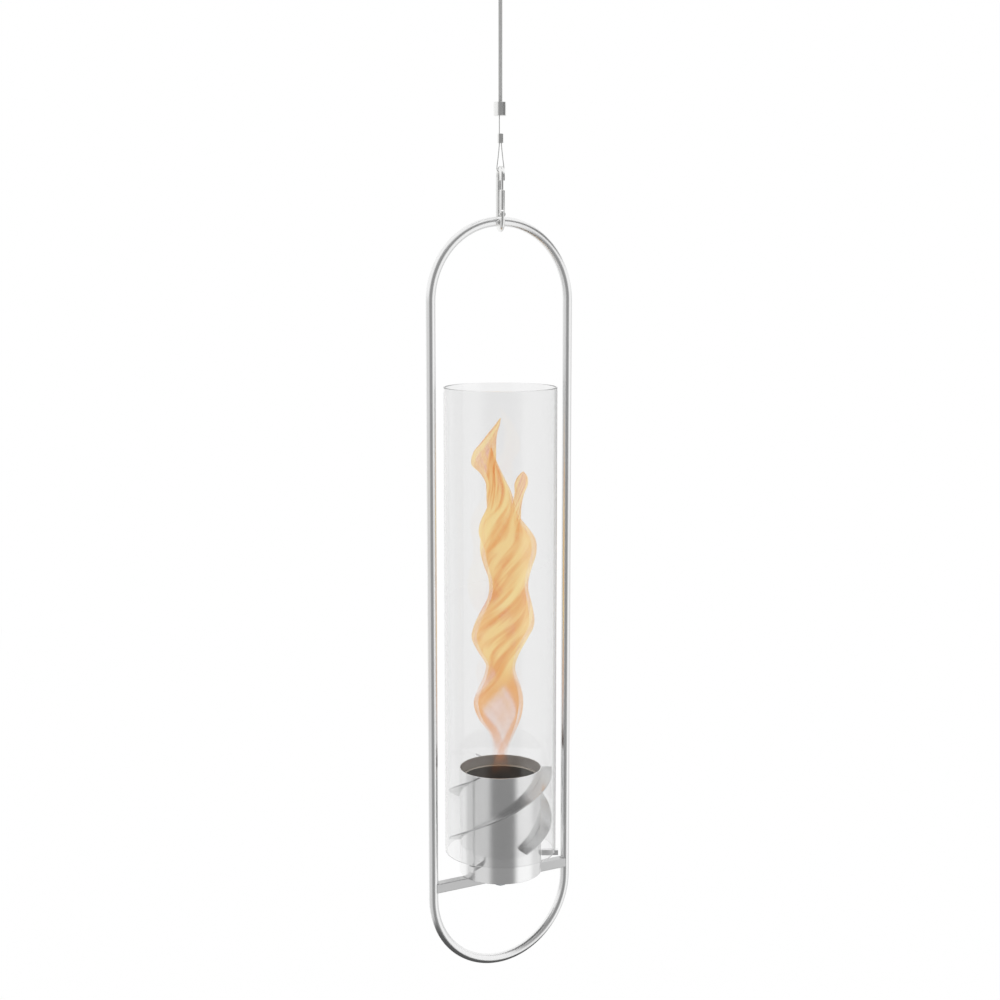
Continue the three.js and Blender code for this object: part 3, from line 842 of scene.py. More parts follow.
@dataclass(frozen=True)
class Panel:
    """A curved dark cloth that stands near the object.

    Attributes:
        name: Name of the cloth.
        radius: How far it stands from the axis.
        right: Where it starts and ends, in degrees right of the camera.
        up: Heights of its foot and its head.
        edge: Width of its soft border.
        level: How bright it looks in a mirror.
    """

    name: str
    radius: float
    right: tuple[float, float]
    up: tuple[float, float]
    edge: float
    level: float


@dataclass
class Studio:
    """The camera at the photograph's angle, and a white room with dark flags and cloths in it."""

    distance: float = 1798.8
    azimuth: float = 29.96
    height: float = -342.5
    pitch: float = 7.555
    lens: float = 61.634
    sensor: float = 36.0
    shift_x: float = -0.0004
    shift_y: float = -0.025
    far_end: float = 50000.0
    floor_height: float = -1700.0
    floor_size: float = 9000.0
    # How much of the floor's white is its own, where the camera or the glass sees it.
    floor_glow: float = 0.7
    flags: tuple[Flag, ...] = (
        # The dark wall behind the camera.
        Flag(right=(-50.0, -16.0, 34.0, 54.0), up=(-90.0, -89.0, 38.0, 72.0), depth=0.7),
        # The grey wall on the left, below the level of the snap hook.
        Flag(right=(-118.0, -100.0, -36.0, -20.0), up=(-70.0, -55.0, 0.0, 4.0), depth=0.3),
        # The far right, past the light.
        Flag(right=(88.0, 112.0, 180.5, 181.0), up=(-70.0, -55.0, 0.0, 4.0), depth=0.24),
    )
    panels: tuple[Panel, ...] = (
        # High on the right, and a low strip beside the hook and the clamp.
        Panel("dark_panel", 650.0, (12.0, 66.0), (-270.0, 460.0), 110.0, 0.28),
        Panel("dark_strip", 320.0, (50.0, 124.0), (-315.0, -110.0), 45.0, 0.2),
    )
    panel_steps: int = 24
    disc_radius: float = 540.0
    disc_height: float = -1450.0
    disc_edge: float = 130.0
    disc_level: float = 0.1
    disc_rings: int = 16
    disc_sectors: int = 48

    def place_camera(self) -> None:
        """Sets the camera where the photograph was taken from."""
        data = bpy.data.cameras.new("camera")
        data.lens = self.lens
        data.sensor_width = self.sensor
        data.shift_x = self.shift_x
        data.shift_y = self.shift_y
        data.clip_end = self.far_end * MM
        camera = bpy.data.objects.new("camera", data)
        turn = math.radians(self.azimuth)
        aside, back = -self.distance * math.sin(turn), -self.distance * math.cos(turn)
        camera.location = Vector((aside, back, self.height)) * MM
        camera.rotation_euler = (math.radians(90.0 - self.pitch), 0.0, -turn)
        bpy.context.scene.collection.objects.link(camera)
        bpy.context.scene.camera = camera

    def light_taken(self, tree: bpy.types.NodeTree, flag: Flag, right: bpy.types.NodeSocket,
                    up: bpy.types.NodeSocket) -> bpy.types.NodeSocket:
        """Works out how much light a flag takes from each direction.

        Args:
            tree: The world's tree.
            flag: The flag.
            right: Angle to the right of the camera, in radians.
            up: Angle above the horizon, in radians.

        Returns:
            The share that it takes, from 0 to the flag's depth.
        """
        taken = None
        for angle, (start, whole, ending, end) in ((right, flag.right), (up, flag.up)):
            for begin, full in ((start, whole), (end, ending)):
                part = add_node(tree, "ShaderNodeMapRange", {"interpolation_type": "SMOOTHSTEP"},
                                {"From Min": math.radians(begin), "From Max": math.radians(full)},
                                {"Value": angle}).outputs[0]
                taken = part if taken is None else add_node(
                    tree, "ShaderNodeMath", {"operation": "MULTIPLY"}, links={0: taken, 1: part}).outputs[0]
        return add_node(tree, "ShaderNodeMath", {"operation": "MULTIPLY"},
                        {1: flag.depth}, {0: taken}).outputs[0]

    def light_world(self) -> None:
        """Fills the room with white light, with the flags only in what metal and glass mirror."""
        world = bpy.data.worlds.new("white_room")
        world.use_nodes = True
        bpy.context.scene.world = world
        tree = world.node_tree
        where = add_node(tree, "ShaderNodeTexCoord").outputs["Generated"]
        seen = add_node(tree, "ShaderNodeVectorRotate", {"rotation_type": "Z_AXIS"},
                        {"Angle": math.radians(self.azimuth)}, {"Vector": where}).outputs[0]
        axes = add_node(tree, "ShaderNodeSeparateXYZ", links={0: seen}).outputs
        towards = add_node(tree, "ShaderNodeMath", {"operation": "MULTIPLY"},
                           {1: -1.0}, {0: axes[1]}).outputs[0]
        right = add_node(tree, "ShaderNodeMath", {"operation": "ARCTAN2"},
                         links={0: axes[0], 1: towards}).outputs[0]
        up = add_node(tree, "ShaderNodeMath", {"operation": "ARCSINE"}, links={0: axes[2]}).outputs[0]
        taken, *others = (self.light_taken(tree, flag, right, up) for flag in self.flags)
        for other in others:
            taken = add_node(tree, "ShaderNodeMath", {"operation": "MAXIMUM"},
                             links={0: taken, 1: other}).outputs[0]
        level = add_node(tree, "ShaderNodeMath", {"operation": "SUBTRACT"}, {0: 1.0}, {1: taken}).outputs[0]
        strength = add_node(tree, "ShaderNodeMix", {"data_type": "FLOAT"}, {NUMBER_A: 1.0},
                            {0: in_mirrors(tree), NUMBER_B: level}).outputs[0]
        feed(tree, tree.nodes["Background"], {"Color": from_hex(WHITE)}, {"Strength": strength})

    def lay_floor(self) -> None:
        """Lays a white floor far below, which shows no edge against the room."""
        half = self.floor_size / 2
        corners = [(-half, -half), (half, -half), (half, half), (-half, half)]
        floor = make_object("studio_floor", [Vector((*corner, self.floor_height)) for corner in corners],
                            [[0, 1, 2, 3]])
        made, tree, shader = start_material("white_matt_floor")
        feed(tree, shader, {"Base Color": from_hex(WHITE), "Roughness": 1.0, "Specular IOR Level": 0.0})
        glow = add_node(tree, "ShaderNodeEmission", None, {"Color": from_hex(WHITE), "Strength": 1.0})
        path = add_node(tree, "ShaderNodeLightPath").outputs
        seen = add_node(tree, "ShaderNodeMath", {"operation": "MAXIMUM"},
                        links={0: path["Is Camera Ray"], 1: path["Is Transmission Ray"]}).outputs[0]
        share = add_node(tree, "ShaderNodeMath", {"operation": "MULTIPLY"},
                         {1: self.floor_glow}, {0: seen}).outputs[0]
        solid = add_node(tree, "ShaderNodeMixShader",
                         links={0: share, 1: shader.outputs[0], 2: glow.outputs[0]})
        clear = add_node(tree, "ShaderNodeBsdfTransparent")
        mixed = add_node(tree, "ShaderNodeMixShader",
                         links={0: in_mirrors(tree), 1: solid.outputs[0], 2: clear.outputs[0]})
        feed(tree, tree.nodes["Material Output"], links={"Surface": mixed.outputs[0]})
        floor.data.materials.append(made)
        floor.visible_glossy = False

    def hang_cloth(self, name: str, rows: Sequence[Sequence[tuple[Vector, float]]], level: float) -> None:
        """Hangs a dark cloth near the object, which only mirrors see.

        Args:
            name: Name of the cloth.
            rows: Its points in millimetres, row by row, each with how much it covers, from 0 to 1.
            level: How bright it looks in a mirror.
        """
        across = len(rows[0])
        faces = [[r * across + c, r * across + c + 1, (r + 1) * across + c + 1, (r + 1) * across + c]
                 for r in range(len(rows) - 1) for c in range(across - 1)]
        mesh = bpy.data.meshes.new(name)
        mesh.from_pydata([point * MM for row in rows for point, _ in row], [], faces)
        cover = mesh.attributes.new("cover", "FLOAT", "POINT")
        cover.data.foreach_set("value", [share for row in rows for _, share in row])
        made, tree, shader = start_material(f"{name}_felt")
        tree.nodes.remove(shader)
        glow = add_node(tree, "ShaderNodeEmission", None, {"Color": from_hex(WHITE), "Strength": level})
        clear = add_node(tree, "ShaderNodeBsdfTransparent")
        stored = add_node(tree, "ShaderNodeAttribute", {"attribute_name": "cover"}).outputs["Fac"]
        share = add_node(tree, "ShaderNodeMath", {"operation": "MULTIPLY"},
                         links={0: in_mirrors(tree), 1: stored}).outputs[0]
        mixed = add_node(tree, "ShaderNodeMixShader",
                         links={0: share, 1: clear.outputs[0], 2: glow.outputs[0]})
        feed(tree, tree.nodes["Material Output"], links={"Surface": mixed.outputs[0]})
        mesh.materials.append(made)
        cloth = bpy.data.objects.new(name, mesh)
        bpy.context.scene.collection.objects.link(cloth)
        for kind in ("camera", "diffuse", "shadow", "transmission"):
            setattr(cloth, f"visible_{kind}", False)

    def hang_panel(self, panel: Panel) -> None:
        """Hangs one curved cloth, which darkens that side of what stands beside it.

        Args:
            panel: The cloth's place and size.
        """
        steps = self.panel_steps
        (start, end), (low, high) = panel.right, panel.up
        rows = []
        for r in range(steps + 1):
            height = low + (high - low) * r / steps
            row = []
            for c in range(steps + 1):
                right = start + (end - start) * c / steps
                turn = math.radians(right - 90.0 - self.azimuth)
                at = Vector((math.cos(turn), math.sin(turn), 0)) * panel.radius + Vector((0, 0, height))
                aside = math.radians(min(right - start, end - right)) * panel.radius
                row.append((at, smooth_share(min(height - low, high - height, aside) / panel.edge)))
            rows.append(row)
        self.hang_cloth(panel.name, rows, panel.level)

    def hang_disc(self) -> None:
        """Lays the round cloth under the object, which darkens the foot of the ring."""
        turns = [2 * math.pi * c / self.disc_sectors for c in range(self.disc_sectors + 1)]
        rows = []
        for ring in range(self.disc_rings + 1):
            reach = self.disc_radius * ring / self.disc_rings
            cover = smooth_share((self.disc_radius - reach) / self.disc_edge)
            rows.append([(Vector((reach * math.cos(a), reach * math.sin(a), self.disc_height)), cover)
                         for a in turns])
        self.hang_cloth("dark_disc", rows, self.disc_level)

    def build(self) -> None:
        """Makes the camera, the world, the floor and the cloths."""
        self.place_camera()
        self.light_world()
        self.lay_floor()
        for panel in self.panels:
            self.hang_panel(panel)
        self.hang_disc()
        bpy.context.scene.view_settings.view_transform = "Standard"
        log.info("the studio is set up")


# ---------------------------------------------------------------- rope and wire
@dataclass
class Suspension:
    """The rope from the ceiling, its clamp, and the thin wire with its crimped loop."""

    # A strand is how many wires show round it, and how many points draw each of them.
    rope_radius: float = 2.0
    rope_lay: float = 26.0
    rope_strand: tuple[int, int] = (12, 6)
    rope_step: float = 1.0
    wire_radius: float = 0.5
    wire_lay: float = 7.0
    wire_strand: tuple[int, int] = (6, 4)
    wire_step: float = 0.5
    rope_route: tuple[Point2, ...] = (
        (0, -200.1), (0, -180), (0, -160), (0, -140), (0, -120), (0, -100), (0, -84), (0, -74),
        (0, -66.3), (-1.7, -61), (-5.1, -54.6), (-8.9, -47.4), (-11.2, -41.4), (-11.5, -35.9),
        (-9.4, -31), (-5.4, -27.6), (0, -26.3), (5.4, -27.6), (9.4, -31), (11.5, -35.9),
        (11.2, -41.4), (9.2, -48.2), (6.6, -56), (5, -61.5), (4.4, -66.3), (4.4, -74), (4.4, -82.5),
    )
    wire_route: tuple[Point2, ...] = (
        (-1.1, -201.4), (-1.1, -209), (-1.1, -217), (-1.1, -225), (-1.1, -231), (-1.15, -236.5),
        (-1.6, -242), (-2.35, -249), (-3.15, -255.5), (-3.65, -259.5), (-3.6, -261.8), (-2.4, -263.8),
        (0, -264.5),
        (2.4, -263.8), (3.6, -261.8), (3.65, -259.5), (3.15, -255.5), (2.35, -249), (1.6, -242),
        (1.15, -236.5), (1.1, -231), (1.1, -225.6),
    )
    # The thimble is a turned ring with a round groove, and the rope's eye lies in the groove.
    thimble_bore: float = 8.0
    thimble_radius: float = 12.3
    thimble_width: float = 7.0
    thimble_lip: float = 0.7
    groove_centre: float = 11.7
    groove_radius: float = 2.3
    thimble_height: float = -38.0
    ferrule_size: Point2 = (12.6, 8.0)
    ferrule_edge: float = 1.2
    ferrule_offset: float = 2.2
    ferrule_top: float = -66.0
    ferrule_height: float = 16.0
    clamp_radius: float = 6.5
    clamp_edge: float = 0.35
    clamp_top: float = -193.4
    clamp_height: float = 14.0
    clamp_offset: float = -0.6
    sleeve_size: Point2 = (6.1, 3.8)
    sleeve_edge: float = 0.6
    sleeve_top: float = -225.3
    sleeve_height: float = 10.0

    def lay_route(self, route: Sequence[Point2],
                  step: float) -> tuple[list[Point2], list[Vector], float]:
        """Spaces a route evenly, places it in the model and measures it.

        Args:
            route: The points that the cord passes through.
            step: The distance between two points of the result.

        Returns:
            The spaced points in the cord's plane, the same in metres in the model, and the length
            in metres.
        """
        spaced = smooth_route(route, step)
        turn = rotation(ROPE_AZIMUTH)
        placed = [turn @ Vector((across, 0, height)) * MM for across, height in spaced]
        length = sum((b - a).length for a, b in zip(placed, placed[1:]))
        return spaced, placed, length

    def thimble(self) -> bpy.types.Object:
        """Turns the round grooved thimble in the rope's eye.

        Returns:
            The thimble.
        """
        lip, half = self.thimble_lip, self.thimble_width / 2 - self.thimble_lip
        near, far = self.thimble_bore + lip, self.thimble_radius - lip
        profile = [*arc(near, -half, lip, 180, 270, 4), *arc(far, -half, lip, 270, 360, 4),
                   *arc(self.groove_centre, 0, self.groove_radius, 280, 80, 16),
                   *arc(far, half, lip, 0, 90, 4), *arc(near, half, lip, 90, 180, 4)]
        body = revolve("rope_thimble_turned", profile, segments=96)
        return place(body, ROPE_AZIMUTH, tilt=90, height=self.thimble_height)

    def clamp(self) -> bpy.types.Object:
        """Turns the polished cylinder that joins the rope to the wire.

        Returns:
            The clamp.
        """
        top, bottom = self.clamp_top, self.clamp_top - self.clamp_height
        edge, r = self.clamp_edge, self.clamp_radius
        profile = [(0, bottom), *arc(r - edge, bottom + edge, edge, -90, 0, 4),
                   *arc(r - edge, top - edge, edge, 0, 90, 4), (0, top)]
        body = revolve("rope_clamp_turned", profile, segments=96)
        return place(body, ROPE_AZIMUTH, (self.clamp_offset, 0.0))

    def build(self, shop: Workshop) -> None:
        """Makes the fittings and the two cords.

        Args:
            shop: Fits the pieces.
        """
        ferrule = prism("rope_ferrule_pressed", oval(*self.ferrule_size),
                        self.ferrule_top - self.ferrule_height, self.ferrule_top, self.ferrule_edge)
        place(ferrule, ROPE_AZIMUTH, (self.ferrule_offset, 0.0))
        shop.fit(ferrule, ZINC, "rope", ["rope_ferrule"])
        thimble = shop.fit(self.thimble(), ZINC, "rope", ["rope_thimble"])
        shop.fit(self.clamp(), NICKEL, "rope", ["rope_clamp"])
        sleeve = prism("crimp_sleeve_pressed", oval(*self.sleeve_size),
                       self.sleeve_top - self.sleeve_height, self.sleeve_top, self.sleeve_edge)
        shop.fit(place(sleeve, ROPE_AZIMUTH), NICKEL, "wire", ["crimp_sleeve"])

        spaced, placed, length = self.lay_route(self.rope_route, self.rope_step)
        strand = stranded_section(self.rope_radius, self.rope_lay, *self.rope_strand)
        rope = sweep("steel_rope", spaced, ROPE_AZIMUTH, strand)
        shop.fit(rope, STRAND, "rope", ["suspension_rope"])

        spaced, placed, length = self.lay_route(self.wire_route, self.wire_step)
        strand = stranded_section(self.wire_radius, self.wire_lay, *self.wire_strand)
        wire = sweep("hanger_wire_stranded", spaced, ROPE_AZIMUTH, strand)
        shop.fit(wire, STRAND, "wire", ["hanger_wire"])


# ---------------------------------------------------------------- snap hook
@dataclass
class SnapHook:
    """The sprung hook between the wire's loop and the ring, drawn with its gate towards +X."""

    bar_radius: float = 2.9
    bend_radius: float = 9.0
    top: float = -258.0
    bottom: float = -326.1
    nose: float = -273.6
    leg_steps: int = 6
    # The bar's end is ground to a flat eye, which the gate's fork straddles.
    pivot: float = -308.0
    flat: float = 2.6
    eye_rise: float = 3.0
    eye_drop: float = 4.8
    rivet_hole: float = 1.5
    # How far the cutters of the eye and of the rivet's hole reach past what they cut.
    cut_past: float = 2.0
    hole_reach: float = 12.0
    # The slot in the nose takes the gate's tongue, and a wall of the bar stays outside it.
    slot: float = 2.6
    slot_depth: float = 3.4
    stop_wall: float = 2.0
    gate_radius: float = 2.8
    gate_edge: float = 1.1
    gate_top: float = -282.9
    fork: float = 3.2
    fork_depth: float = 4.5
    spring_bore: float = 1.5
    spring_bore_top: float = -289.5
    # The tongue tapers from its root in the gate to its tip in the slot.
    tongue: float = 1.8
    tongue_root: float = 3.2
    tongue_tip: float = 1.2
    tongue_seat: float = 3.0
    catch_depth: float = 1.7
    rivet_radius: float = 1.2
    # Radius and rise of the rivet's domed heads, from the middle out.
    rivet_dome: tuple[Point2, ...] = ((0.0, 0.4), (1.0, 0.33), (1.6, 0.1), (1.7, 0.0))

    def pivot_hole(self) -> bpy.types.Object:
        """Makes the cutter of the rivet's hole, right through the hook on the gate's pivot.

        Returns:
            The cutter.
        """
        radius, half = self.rivet_hole, self.hole_reach
        profile = [(0, -half), (radius, -half), (radius, half), (0, half)]
        hole = revolve("cutter", profile, segments=40)
        return place(hole, shift=(self.bend_radius, 0.0), tilt=90, height=self.pivot)

    def hook(self) -> bpy.types.Object:
        """Bends the bar, slots its nose and flattens its end to an eye for the gate.

        Returns:
            The hook.
        """
        bend, bar = self.bend_radius, self.bar_radius
        high, low = self.top - bar - bend, self.bottom + bar + bend
        eye_top, eye_bottom = self.pivot + self.eye_rise, self.pivot - self.eye_drop
        leg = [(-bend, high + (low - high) * i / self.leg_steps) for i in range(1, self.leg_steps)]
        route = [(bend, self.nose), *arc(0, high, bend, 0, 180, 28), *leg, *arc(0, low, bend, 180, 360, 28),
                 (bend, (low + eye_top) / 2), (bend, eye_top)]
        body = sweep("snap_hook_bent", route, 0.0, round_section(bar, sides=40))
        past = eye_top + self.cut_past
        cheeks = [block(Vector((3 * bar, bar, past - eye_bottom)),
                        Vector((bend, side * (self.flat + bar) / 2, (past + eye_bottom) / 2)))
                  for side in (-1, 1)]
        reach = bend + bar - self.stop_wall
        slot = block(Vector((reach, self.slot, 2 * self.slot_depth)), Vector((reach / 2, 0, self.nose)))
        carve(body, [*cheeks, slot, self.pivot_hole()])
        return place(body, HOOK_AZIMUTH)

    def gate(self) -> bpy.types.Object:
        """Turns the round gate, forks it at its pivot, bores it and adds its thin tongue.

        Returns:
            The gate.
        """
        r, edge = self.gate_radius, self.gate_edge
        low, high = self.pivot - r, self.gate_top
        profile = [(0, low), *arc(r - edge, low + edge, edge, -90, 0, 6),
                   *arc(r - edge, high - edge, edge, 0, 90, 6), (0, high)]
        stem = place(revolve("hook_gate_turned", profile, segments=48), shift=(self.bend_radius, 0.0))
        outer = self.bend_radius + self.bar_radius - self.stop_wall - TOUCH
        half = self.tongue / 2
        points = []
        for height, depth in ((high - self.tongue_seat, self.tongue_root),
                              (self.nose + self.catch_depth, self.tongue_tip)):
            points += [Vector((x, y, height)) for x, y in
                       ((outer - depth, -half), (outer, -half), (outer, half), (outer - depth, half))]
        tongue = make_object("tongue", points, loft_faces(4, 2, False))
        fork = block(Vector((3 * r, self.fork, 2 * self.fork_depth)),
                     Vector((self.bend_radius, 0, self.pivot)))
        sides = [(0, self.pivot), (self.spring_bore, self.pivot), (self.spring_bore, self.spring_bore_top),
                 (0, self.spring_bore_top)]
        bore = place(revolve("cutter", sides, segments=32), shift=(self.bend_radius, 0.0))
        carve(stem, [fork, bore, self.pivot_hole()], [tongue])
        return place(stem, HOOK_AZIMUTH)

    def rivet(self) -> bpy.types.Object:
        """Turns the gate's rivet, with low domed heads.

        Returns:
            The rivet.
        """
        half, shank = self.gate_radius + TOUCH / 2, self.rivet_radius
        profile = [(r, -half - rise) for r, rise in self.rivet_dome] + [(shank, -half), (shank, half)]
        profile += [(r, half + rise) for r, rise in self.rivet_dome[::-1]]
        body = revolve("gate_rivet_headed", profile, segments=40)
        place(body, shift=(self.bend_radius, 0.0), tilt=90, height=self.pivot)
        return place(body, HOOK_AZIMUTH)

    def build(self, shop: Workshop) -> None:
        """Makes the hook, its gate and its rivet, and dresses the spring.

        Args:
            shop: Fits the pieces.
        """
        shop.fit(self.hook(), NICKEL, "hook", ["snap_hook"])
        shop.fit(self.gate(), NICKEL, "gate", ["hook_gate"])
        shop.fit(self.rivet(), NICKEL, "hook", ["gate_rivet"])
        shop.keep("gate_spring", NICKEL)


# ---------------------------------------------------------------- ring, crossbar and cup
@dataclass
class Carrier:
    """The bent ring with its crossbar, and the cup with its vanes and glass rests."""

    bar_radius: float = 5.0
    half_width: float = 82.5
    ring_top: float = -315.1
    ring_height: float = 801.0
    bend_steps: int = 72
    leg_steps: int = 30
    cup_radius: float = 44.45
    cup_wall: float = 1.0
    cup_bottom: float = -1016.2
    # The cup's outside has rings of points, the first so far up and the others a step apart.
    first_band: float = 5.0
    band_step: float = 20.0
    bands: int = 6
    rim: float = -899.6
    vane_radius: float = 56.0
    vane_drop: float = 80.5
    vane_turn: float = 180.0
    vane_thickness: float = 1.7
    vane_steps: int = 144

    def ring(self) -> bpy.types.Object:
        """Bends one round bar to two half circles with straight legs between them.

        Returns:
            The ring.
        """
        half, bends, legs = self.half_width, self.bend_steps, self.leg_steps
        high = self.ring_top - half
        low = self.ring_top - self.ring_height + half
        heights = [high + (low - high) * i / legs for i in range(1, legs)]
        route = [*arc(0, high, half, 0, 180, bends), *[(-half, z) for z in heights],
                 *arc(0, low, half, 180, 360, bends), *[(half, z) for z in heights[::-1]]]
        return sweep("ring_bar_bent", route, 0.0, round_section(self.bar_radius, sides=48), True)

    def cup(self) -> bpy.types.Object:
        """Turns the cup's tube, with its sawn edges rounded off.

        Returns:
            The tube.
        """
        edge = self.cup_wall / 3
        outer, inner = self.cup_radius - edge, self.cup_radius - self.cup_wall + edge
        low, high = self.cup_bottom + edge, self.rim - edge
        bands = [(self.cup_radius, self.cup_bottom + self.first_band + self.band_step * i)
                 for i in range(self.bands)]
        profile = [*arc(inner, low, edge, 180, 270, 4), *arc(outer, low, edge, 270, 360, 4), *bands,
                   *arc(outer, high, edge, 0, 90, 4), *arc(inner, high, edge, 90, 180, 4)]
        return revolve("cup_tube", profile, segments=256)

    def vane(self, azimuth: float, number: int) -> bpy.types.Object:
        """Twists a thin sheet that climbs round the cup.

        Args:
            azimuth: Where its top is, in degrees.
            number: Number of the vane.

        Returns:
            The vane.
        """
        inner, outer = self.cup_radius + TOUCH / 3, self.vane_radius
        half, edge = self.vane_thickness / 2, self.vane_thickness / 4
        section = [(inner, -half), *arc(outer - edge, edge - half, edge, -90, 0, 3),
                   *arc(outer - edge, half - edge, edge, 0, 90, 3), (inner, half)]
        points, grain = [], []
        for step in range(self.vane_steps + 1):
            share = step / self.vane_steps
            turn = math.radians(self.vane_turn * share)
            angle = math.radians(azimuth) - turn
            middle = self.rim - self.vane_drop * share - half
            points += [Vector((r * math.cos(angle), r * math.sin(angle), middle + z)) for r, z in section]
            grain += [Vector((r, z, turn * outer)) for r, z in section]
        faces = loft_faces(len(section), self.vane_steps + 1, False)
        return make_object(f"air_vane_{number}_twisted", points, faces, grain)

    def build(self, shop: Workshop) -> None:
        """Makes the ring, the cup and the vanes, and dresses the model's own flat pieces.

        Args:
            shop: Fits the pieces.
        """
        shop.fit(self.ring(), BAR_STEEL, "frame", ["ring_frame"])
        cup = shop.fit(self.cup(), TUBE_STEEL, "frame", ["cup_shell"])
        shop.line_bore(cup, BORE_STEEL)
        for number, azimuth in enumerate(SECTOR_AZIMUTHS, 1):
            vane = self.vane(azimuth, number)
            shop.fit(vane, SHEET_STEEL, "frame", [f"air_vane_{number}"])
            shop.keep(f"glass_rest_{number}", TUBE_STEEL)
        shop.keep("crossbar", CROSSBAR_STEEL)
        shop.keep("cup_floor", TUBE_STEEL)
        for node in ("fixing_bolt", "bolt_washer", "cup_nut"):
            shop.keep(node, ZINC)


# ---------------------------------------------------------------- glass and burner
@dataclass
class Chimney:
    """The glass cylinder that stands round the cup on its three rests."""

    radius: float = 60.0
    wall: float = 2.0
    bottom: float = -992.5
    height: float = 505.0
    lip: float = 0.8

    def build(self, shop: Workshop) -> None:
        """Makes the tube with its fire-polished rims.

        Args:
            shop: Fits the piece.
        """
        lip = self.lip
        outer, inner = self.radius - lip, self.radius - self.wall + lip
        low, high = self.bottom + lip, self.bottom + self.height - lip
        profile = [*arc(inner, low, lip, 180, 270, 5), *arc(outer, low, lip, 270, 360, 5),
                   *arc(outer, high, lip, 0, 90, 5), *arc(inner, high, lip, 90, 180, 5)]
        tube = revolve("glass_tube", profile, segments=256)
        shop.fit(tube, TubeGlass(), "glass", ["glass_cylinder"])


@dataclass
class Burner:
    """The fuel can with its rolled rim, and the fibre pad inside it."""

    inner: float = 39.6
    wall: float = 0.8
    bead: float = 1.7
    bead_height: float = -911.7
    # Where the rolled rim leaves the wall, in degrees round the bead.
    bead_start: float = -122.0
    bottom: float = -1008.9
    corner: float = 4.0
    pad_radius: float = 38.9
    pad_top: float = -946.0
    pad_edge: float = 2.0
    pad_foot: float = 4.0
    pad_rings: int = 18
    # The pad's top sinks in wide swells and fine ripples: depths, and radians in a millimetre.
    swell: float = 0.5
    swell_start: float = 1.3
    swell_turns: Point2 = (0.31, 0.27)
    ripple: float = 0.3
    ripple_turns: Point2 = (0.83, -0.6)

    def can(self) -> bpy.types.Object:
        """Draws one sheet to a floor, a wall and a rim rolled outwards.

        Returns:
            The can.
        """
        corner, floor = self.corner, self.bottom + self.wall
        middle, level = self.inner + self.wall - corner, self.bottom + corner
        profile = [(0, self.bottom), *arc(middle, level, corner, -90, 0, 8),
                   *arc(self.inner + self.bead, self.bead_height, self.bead, self.bead_start, 180, 22),
                   *arc(middle, level, corner - self.wall, 0, -90, 8), (0, floor)]
        return revolve("burner_can_drawn", profile, segments=192)

    def pad(self) -> bpy.types.Object:
        """Presses the pad, with the soft uneven top of pressed fibre.

        Returns:
            The pad.
        """
        low, high, r = self.bottom + self.wall + TOUCH, self.pad_top, self.pad_radius
        edge, foot, rings = self.pad_edge, self.pad_foot, self.pad_rings
        top = [((r - edge) * (1 - i / rings), high) for i in range(rings + 1)]
        profile = [(0, low), (r - foot, low), (r, low + foot),
                   *arc(r - edge, high - edge, edge, 0, 80, 5), *top]
        body = revolve("fibre_pad_pressed", profile, segments=96)
        along, across = self.swell_turns
        for vertex in body.data.vertices:
            x, y, z = vertex.co / MM
            if z > high - edge / 2:
                swell = 1 + math.sin(along * x + self.swell_start) * math.cos(across * y)
                ripple = math.sin(self.ripple_turns[0] * x + self.ripple_turns[1] * y)
                vertex.co.z -= (self.swell * swell + self.ripple * ripple) * MM
        return body

    def build(self, shop: Workshop) -> None:
        """Makes the can and its pad.

        Args:
            shop: Fits the pieces.
        """
        shop.fit(self.can(), CAN_STEEL, "burner", ["burner_can"])
        shop.fit(self.pad(), CeramicFibre(), "burner", ["fibre_pad"])


